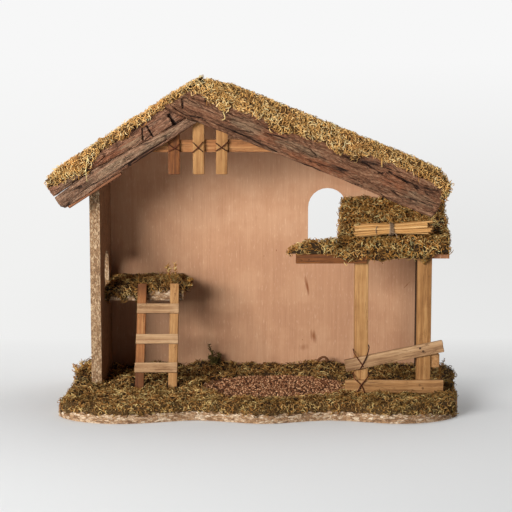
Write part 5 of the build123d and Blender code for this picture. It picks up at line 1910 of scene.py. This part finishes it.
@dataclass
class Gable:
    """Tie beam, hanging slats and their lashings."""

    slats: tuple[tuple[str, float, float, Slot, str], ...] = (
        ("left", -84, 262, Slot.STAINED_PINE, "umber_pine"),
        ("middle", -60.5, 274, Slot.PALE_PINE, "slat_pine"),
        ("right", -38.4, 277, Slot.PALE_PINE, "slat_pine"),
    )
    width: float = 11.0
    depth: float = 3.5
    foot: float = 221.5
    front: float = -18.0

    def build(self, shop: Workshop) -> None:
        """Build the strips and the wire."""
        beam = Strip("tie_beam", 133, 11.8, 8, lying(-44.5, -10.5, 248.5), 41)
        beam.build(shop, Slot.PALE_PINE, "orange_pine")
        for i, (name, x, top, slot, wood) in enumerate(self.slats):
            length = top - self.foot
            place = standing(x, self.front + self.depth / 2, self.foot + length / 2)
            slat = Strip("hanging_slat_" + name, length, self.width, self.depth, place, 43 + i, ease=0.4)
            slat.build(shop, slot, wood)
        self._wires(shop)

    def _wires(self, shop: Workshop) -> None:
        """Build the crossed wires that tie the slats to the beam."""
        crosses = (
            ((-88.5, 249.4), (-78.1, 243.7)), ((-78.5, 250.2), (-88.3, 243.5)),
            ((-65.9, 251.7), (-56.3, 242.8)), ((-56.2, 252.2), (-66.2, 242.3)),
            ((-44.1, 251), (-32.3, 242.8)), ((-32.5, 252.2), (-43.9, 243.7)),
        )
        lines = []
        back = self.front + self.depth - 0.5
        for i, ((x0, z0), (x1, z1)) in enumerate(crosses):
            face = self.front - 0.7 - (i % 2) * 0.8
            inner = 0.12 * (x1 - x0)
            fall = 0.12 * (z1 - z0)
            lines.append(smooth_path([
                (x0, back, z0), (x0, face + 1.2, z0), (x0 + inner, face, z0 + fall),
                ((x0 + x1) / 2, face - 0.1, (z0 + z1) / 2 - 0.5), (x1 - inner, face, z1 - fall),
                (x1, face + 1.2, z1), (x1, back, z1),
            ], 4))
        add_rods(
            shop, "slat_lashings", lines, Slot.IRON_WIRE, "dark_iron_wire", 0.5, 23, spread=0.08, taper=0.0,
            sides=7, nodes=["slat_wires"],
        )


@dataclass
class Loft:
    """Loft board and its moss, with sprigs at the right."""

    tops: tuple[Point2, ...] = ((-158, 105.5), (-150, 110.5), (-82, 111.5), (-74, 108.5), (-68, 104.5))
    lower: tuple[Point2, ...] = (
        (-157.5, 95), (-154.5, 91), (-151.5, 97.5), (-145, 98), (-141, 93), (-138, 90.5), (-135, 97.5),
        (-129, 98), (-126.5, 91.5), (-124, 91), (-121.5, 99.5), (-96, 102.5), (-80, 101.5),
    )
    sprigs: tuple[Sprig, ...] = (
        Sprig((-92, 50, 110), (-95.5, 48, 127), 36, 6, 41),
        Sprig((-88, 52, 110), (-88.5, 50, 128.5), 34, 5.5, 42),
        Sprig((-80, 54, 108), (-69, 50, 112), 30, 6, 43),
        Sprig((-80, 46, 106), (-70, 44, 107), 26, 5, 44),
    )

    def _thin(self, place: Vector) -> Vector:
        """Keep the moss under its measured ragged top, which falls away at both ends."""
        place.z = min(place.z, ramp(self.tops, place.x) + wobble(place.x / 4, place.y / 9) * 2.4)
        return place

    def _hanging(self, share_along: float, share_up: float, layer: int) -> Vector:
        """A place on the moss that hangs over the front edge of the board, left of the ladder."""
        x = -157.5 + 78.5 * share_along
        low = ramp(self.lower, x) + wobble(x / 3, 5) * 1.2
        z = low + (106 - low) * share_up
        y = 38.3 if layer else 37.6 - 1.4 * min(1, share_up * 3) - wobble(x / 4, z / 4) * 0.7
        return Vector((x, y + max(0, z - 100) * 0.5, z))

    def build(self, shop: Workshop) -> None:
        """Build the loft."""
        shop.repaint("flat_chipboard", "loft_board")
        growth = MossGrowth(
            "ground_moss_strands", 4.0e5, back_share=1.0, length=7.0, lowest_normal=-0.5, tilt=1.0, seed=29
        )
        patch = MossPatch("loft_moss", Slot.MOSS, growth, voxel=1.9, lumps=3.0, inset=3.4, reshape=self._thin)
        patch.build(shop)
        add_sprigs(shop, "loft_sprigs", self.sprigs, 0.42, 19)
        growth = MossGrowth(
            "ground_moss_strands", 3.8e5, back_share=1.0, length=5.4, lowest_normal=-1.1, seed=37
        )
        hang_curtain(shop, "loft_hanging", Slot.MOSS, (50, 8), self._hanging, growth)


@dataclass
class Ladder:
    """The leaning ladder, which tips forward on its own body."""

    foot: Point3 = (-103.7, -5.253, 13.05)
    lean: float = 24.0
    length: float = 108.0
    span: float = 41.2
    rail_width: float = 8.8
    rail_depth: float = 5.5
    rung_width: float = 9.8
    rung_thickness: float = 3.0
    stations: tuple[float, float, float] = (21.3, 50.2, 81.4)

    def _place(self, x: float, forward: float, along: float) -> Matrix:
        """Place of a strip in the ladder's own plane.

        Args:
            x: Distance right of the ladder's middle.
            forward: Distance in front of the rails' middle plane.
            along: Distance up the rails from the pivot.

        Returns:
            The matrix of a point there, with local Z to the front and local X to the right.
        """
        base = Matrix.Translation(self.foot) @ turned(-self.lean, "X")
        return base @ Matrix.Translation((x, -forward, along)) @ turned(90, "X")

    def build(self, shop: Workshop) -> None:
        """Build the rails and the rungs."""
        half = self.rail_depth / 2
        offset = (self.span - self.rail_width) / 2
        for side, name, wood in ((-1, "left", "rail_pine"), (1, "right", "golden_pine")):
            place = self._place(side * offset, 0, self.length / 2 - half) @ turned(90, "Z")
            size = (self.length, self.rail_width, self.rail_depth)
            rail = Strip("ladder_rail_" + name, *size, place, 51 + side, bow=0.25)
            rail.build(shop, Slot.PALE_PINE, wood, Body.LADDER)
        for i, name in enumerate(("lower", "middle", "upper")):
            forward = half + self.rung_thickness / 2
            place = self._place((-0.6, 0.4, 0.9)[i] * 0.4, forward, self.stations[i] - half)
            size = (self.span + 0.6, self.rung_width, self.rung_thickness)
            rung = Strip("ladder_rung_" + name, *size, place, 61 + i, ease=0.45, bow=0.15)
            rung.build(shop, Slot.PALE_PINE, "pale_pine", Body.LADDER)


@dataclass
class LeanTo:
    """Mossy lean-to roof, its sill beam and the straw bundle on it."""

    straw_middle: Point3 = (125, -24, 169.8)
    straw_length: float = 72.5
    straw_rise: float = 0.045
    straws: int = 34
    tie_x: float = 122.4
    lip: tuple[Point2, ...] = ((100, 142.5), (111, 141), (130, 144.5), (157, 143), (160, 149), (178, 149))
    lap: tuple[Point2, ...] = ((67, 147.5), (74, 144), (81, 140.5), (86, 142), (92, 144.5), (99.6, 146.5))

    def build(self, shop: Workshop) -> None:
        """Build the lean-to."""
        shop.repaint("lean_veneer", "lean_to_board")
        shop.repaint("roof_veneer", "roof_prop")
        growth = MossGrowth(
            "lean_moss_strands", 3.8e5, back_share=0.85, length=6.8, lowest_normal=-0.6, tilt=0.95, seed=47
        )
        MossPatch("lean_to_moss", Slot.MOSS, growth, lumps=2.4, reshape=self._above_lip).build(shop)
        growth = MossGrowth("lean_moss_strands", 4.2e5, lowest_normal=-0.5, seed=53)
        MossPatch("sill_moss", Slot.MOSS, growth, voxel=1.6, lumps=1.6, inset=1.0).build(shop)
        self._edge(shop)
        beam = Strip("sill_beam", 67, 9.5, 8, lying(65, -40, 143.75), 71)
        beam.build(shop, Slot.DARK_PINE, "dark_pine")
        self._straw(shop)

    def _above_lip(self, place: Vector) -> Vector:
        """Lift the front of the moss to its measured ragged lip, clear of the board at the right end."""
        if place.y < -28:
            place.z = max(place.z, ramp(self.lip, place.x) + wobble(place.x / 4, 1) * 1.2)
        return place

    def _lapping(self, share_along: float, share_up: float, layer: int) -> Vector:
        """A place on the moss that laps over the sill beam."""
        x = 67 + 34 * share_along
        low = ramp(self.lap, x) + wobble(x / 2.6, 4) * 1.3
        z = low + (151.5 - low) * share_up
        y = -44.1 if layer else -44.4 - 1.3 * min(1, share_up * 3) - wobble(x / 3, z / 3) * 0.4
        return Vector((x, y + max(0, z - 148) * 0.7, z))

    def _edge(self, shop: Workshop) -> None:
        """Build the moss that laps over the sill beam, the sprigs on the roof and the post's tuft."""
        growth = MossGrowth("lean_moss_strands", 4.6e5, length=5.0, lowest_normal=-1.1, tilt=0.9, seed=59)
        hang_curtain(shop, "sill_lap", Slot.MOSS, (24, 6), self._lapping, growth)
        sprigs = []
        for k in range(2, 9):
            tip = (72 + 4.2 * k + k % 3, 82 - 2 * k, 191 + 1.5 * (k * 7 % 4))
            sprigs.append(Sprig((73 + 4.5 * k, 84 - 2 * k, 183), tip, 12, 2.6, 61 + k))
        add_sprigs(shop, "lean_to_sprigs", sprigs, 0.4, 69)
        knot = Sprig((152.6, -37, 144), (152.6, -38.4, 137.5), 46, 4, 78)
        add_sprigs(shop, "post_tuft", [knot], 0.5, 79, "ground_moss_strands")

    def _straw(self, shop: Workshop) -> None:
        """Build the bundle: straws held together at the tie and fanned towards both ends."""
        rng = random.Random(83)
        centre = Vector(self.straw_middle)
        lines = []
        for i in range(self.straws):
            radius = math.sqrt((i + 0.5) / self.straws)
            turn = i * GOLDEN_TURN
            y = math.cos(turn) * radius * 5.6
            z = math.sin(turn) * radius * 5.2
            left = -self.straw_length / 2 + rng.uniform(-2.5, 5)
            right = self.straw_length / 2 + rng.uniform(-6, 2.5)
            fan_left = 1 + rng.uniform(-0.05, 0.2)
            fan_right = 1.1 + rng.uniform(0, 0.35)
            tie = self.tie_x - centre.x
            turns = (
                (left, y * fan_left + rng.uniform(-0.5, 0.5), z * fan_left - 0.4),
                ((left + tie) / 2, y * 1.05, z * 1.05), (tie, y * 0.86, z * 0.86),
                ((right + tie) / 2, y * 1.05, z * 1.05),
                (right, y * fan_right + rng.uniform(-0.7, 0.7), z * fan_right + rng.uniform(-0.5, 0.8)),
            )
            path = [centre + Vector((a, b, c + a * self.straw_rise)) for a, b, c in turns]
            lines.append(smooth_path(path, 3))
        add_rods(
            shop, "straw_stalks", lines, Slot.STRAW, "straw_stems", 0.98, 29, spread=0.25, taper=0.0, sides=7,
            nodes=["straw_bundle"],
        )
        angles = [math.tau * step / 24 for step in range(25)]
        turns = []
        for k in range(5):
            middle = self.tie_x - 1.6 + k * 0.75
            lift = centre.z + (middle - centre.x) * self.straw_rise
            hub = Vector((middle, centre.y, lift))
            turns.append([
                hub + Vector((0.35 * math.sin(a + k), 6.3 * math.cos(a), 5.9 * math.sin(a))) for a in angles
            ])
        x = self.tie_x
        for end in (
            [(x - 1, -30.2, 168), (x + 3, -31, 166.5), (x + 5, -31.2, 163.5), (x + 4, -31, 160.5)],
            [(x - 14, -29.4, 173), (x - 15, -30.5, 169.5), (x - 14.5, -29.6, 166)],
        ):
            turns.append(smooth_path(end, 4))
        add_rods(
            shop, "straw_tie_band", turns, Slot.STRAW_BAND, "raffia_band", 0.48, 31, spread=0.15, taper=0.0,
            sides=6, nodes=["straw_tie"],
        )


@dataclass
class Pen:
    """Posts, boards, rail, lashings and nails of the pen."""

    posts: Point2 = (94.1, 153.9)
    post_height: float = 134.4
    post_width: float = 12.8
    post_depth: float = 12.0
    post_front: float = -36.0
    board_front: float = -40.0

    def build(self, shop: Workshop) -> None:
        """Build the pen."""
        size = (self.post_height, self.post_width, self.post_depth)
        middle = (self.post_front + self.post_depth / 2, 10 + self.post_height / 2)
        lower = lying(125.5, -38, 20.9)
        upper = lying(125.1, -38, 50.4, 11.7)
        inwards = Matrix.Translation((164.6, 17, 44.7)) @ turned(90, "Z") @ turned(90, "X")
        for strip, wood in (
            (Strip("pen_post_left", *size, standing(self.posts[0], *middle), 81, ease=0.7), "golden_pine"),
            (Strip("pen_post_right", *size, standing(self.posts[1], *middle), 82, ease=0.7), "slat_pine"),
            (Strip("pen_board_lower", 93.6, 12.2, 4, lower, 85, ease=0.6), "stained_pine"),
            (Strip("pen_board_upper", 94.8, 11.4, 4, upper, 86, ease=0.6), "faded_pine"),
            (Strip("side_rail", 102, 13, 8.6, inwards, 87, ease=0.7), "stained_pine"),
        ):
            strip.build(shop, Slot.STAINED_PINE, wood)
        shop.repaint("dull_nail_steel", "pen_nails")
        self._wires(shop)

    def _wires(self, shop: Workshop) -> None:
        """Build the wire crosses that tie both boards to the left post."""
        face = self.board_front - 0.65
        near = face - 0.8
        post = self.post_front - 0.6
        left = self.posts[0] - self.post_width / 2 - 0.8
        right = self.posts[0] + self.post_width / 2 + 0.9
        paths = [
            [(left, -25, 32), (left, post, 31.8), (88.2, face, 28.3), (93.7, face - 0.1, 22.7),
             (96.8, face, 16.2), (98.4, -38, 13.8), (right, -30, 13.6)],
            [(right, -25, 32.2), (right, post, 32), (99, near, 28.9), (93.7, near - 0.1, 22.7),
             (90.4, near, 15.9), (89.2, -38, 13.8), (left, -30, 13.6)],
            [(left, -26, 54.8), (left, -35, 54.6), (86.9, face + 0.3, 53.4), (90.6, face, 47.8),
             (94.5, face - 0.1, 42), (97.4, -38.2, 38.6), (right, -30, 38)],
            [(right, -26, 58.8), (right, -35, 58.6), (100.8, near, 57.6), (98.7, near, 50.1),
             (93.6, near + 1, 39.4), (91.6, -38, 37.4), (left, -30, 37)],
        ]
        lines = [smooth_path(path, 4) for path in paths]
        add_rods(
            shop, "pen_lashings", lines, Slot.IRON_WIRE, "dark_iron_wire", 0.5, 37, spread=0.08, taper=0.0,
            sides=7, nodes=["pen_wires"],
        )


@dataclass
class Studio:
    """Floor, backdrop, lamps and the camera at the photograph's angle."""

    lens: float = 36.0 * 1278.0 / 512.0
    pitch: float = 6.03
    eye: Point3 = (-6, -1235, 272)
    floor: Colour = srgb(229, 230, 230)
    reach: float = 1500.0
    bend: float = 500.0
    height: float = 2600.0
    half_width: float = 3200.0
    air: float = 0.055
    seen_air: float = 0.85

    def _sweep(self) -> Object:
        """Build the floor that curves up into the backdrop."""
        profile = [(-self.height, 0), (self.reach, 0)]
        for step in range(1, 13):
            turn = math.radians(90 * step / 12)
            profile.append((self.reach + self.bend * math.sin(turn), self.bend - self.bend * math.cos(turn)))
        profile.append((self.reach + self.bend, self.height))
        points = [Vector((x, y, z)) for y, z in profile for x in (-self.half_width, self.half_width)]
        faces = [(2 * i, 2 * i + 1, 2 * i + 3, 2 * i + 2) for i in range(len(profile) - 1)]
        mesh = mesh_from("studio_sweep", points, faces)
        soften(mesh, 60)
        mesh.materials.append(self._paper())
        return new_object("studio_sweep", mesh)

    def _paper(self) -> Material:
        """Pale paper that takes shadows near the object and, further back, shows the camera a glow with
        painted light, paler on the left and towards the top.
        """
        graph = MaterialGraph("pale_paper")
        graph.finish(self.floor, 0.95)
        x, y, z = graph.split(graph.place())
        path = graph.node("ShaderNodeLightPath").outputs
        seen = graph.most(path["Is Camera Ray"], path["Is Glossy Ray"], path["Is Transmission Ray"])
        # Painted light: the glow is paler on the left than on the right, and paler again towards the top.
        low = graph.mix(graph.spread(x, -0.45, 0.45), srgb(241, 241, 240), srgb(230, 230, 229))
        pale = graph.mix(graph.spread(z, 0, 0.42), low, srgb(247, 247, 247))
        blend = graph.node("ShaderNodeMixShader", {
            0: graph.times(seen, graph.spread(y, -0.04, 0.36)), 1: graph.shader.outputs[0],
            2: graph.node("ShaderNodeEmission", {0: pale}).outputs[0],
        })
        graph.put(graph.tree.nodes["Material Output"].inputs[0], blend.outputs[0])
        return graph.material

    @staticmethod
    def _lamp(name: str, place: Point3, aim: Point3, size: Point2, power: float) -> None:
        """Hang a lamp with a white oblong face.

        Args:
            name: Its name.
            place: Where it hangs, in metres.
            aim: Where it points, in metres.
            size: Width and height of its face, in metres.
            power: Watts.
        """
        data = bpy.data.lights.new(name, "AREA")
        data.shape = "RECTANGLE"
        data.size, data.size_y = size
        data.energy = power
        lamp = bpy.data.objects.new(name, data)
        bpy.context.scene.collection.objects.link(lamp)
        lamp.location = place
        lamp.rotation_euler = (Vector(aim) - Vector(place)).to_track_quat("-Z", "Y").to_euler()

    def build(self) -> None:
        """Build the studio."""
        self._sweep()
        self._lamp("key", (-1.1, -1.55, 0.53), (0, 0, 0.12), (1.1, 0.44), 50.5)
        self._lamp("top", (0.15, 0.4, 1.6), (0, 0, 0), (1.5, 1.3), 16)
        world = bpy.data.worlds.new("studio_air")
        world.use_nodes = True
        graph = Graph(world.node_tree)
        air = graph.tree.nodes["Background"]
        graph.put(air.inputs[0], (1, 1, 1, 1))
        seen = graph.node("ShaderNodeLightPath").outputs["Is Camera Ray"]
        graph.put(air.inputs[1], graph.math("MULTIPLY_ADD", seen, self.seen_air, self.air))
        bpy.context.scene.world = world
        data = bpy.data.cameras.new("camera")
        data.lens = self.lens
        camera = bpy.data.objects.new("camera", data)
        bpy.context.scene.collection.objects.link(camera)
        camera.location = Vector(self.eye) * MM
        camera.rotation_euler = (math.radians(90 - self.pitch), 0, 0)
        bpy.context.scene.camera = camera
        bpy.context.scene.view_settings.view_transform = "Standard"


def main() -> None:
    """Build the studio and every sub-assembly."""
    logging.basicConfig(level=logging.INFO, format="%(name)s %(message)s")
    Studio().build()
    shop = Workshop()
    for assembly in (Ground(), Walls(), Roof(), Gable(), Loft(), Ladder(), LeanTo(), Pen()):
        LOG.info("building %s", type(assembly).__name__)
        assembly.build(shop)
    LOG.info("%d pieces made", len(shop.made))


if __name__ == "__main__":
    main()
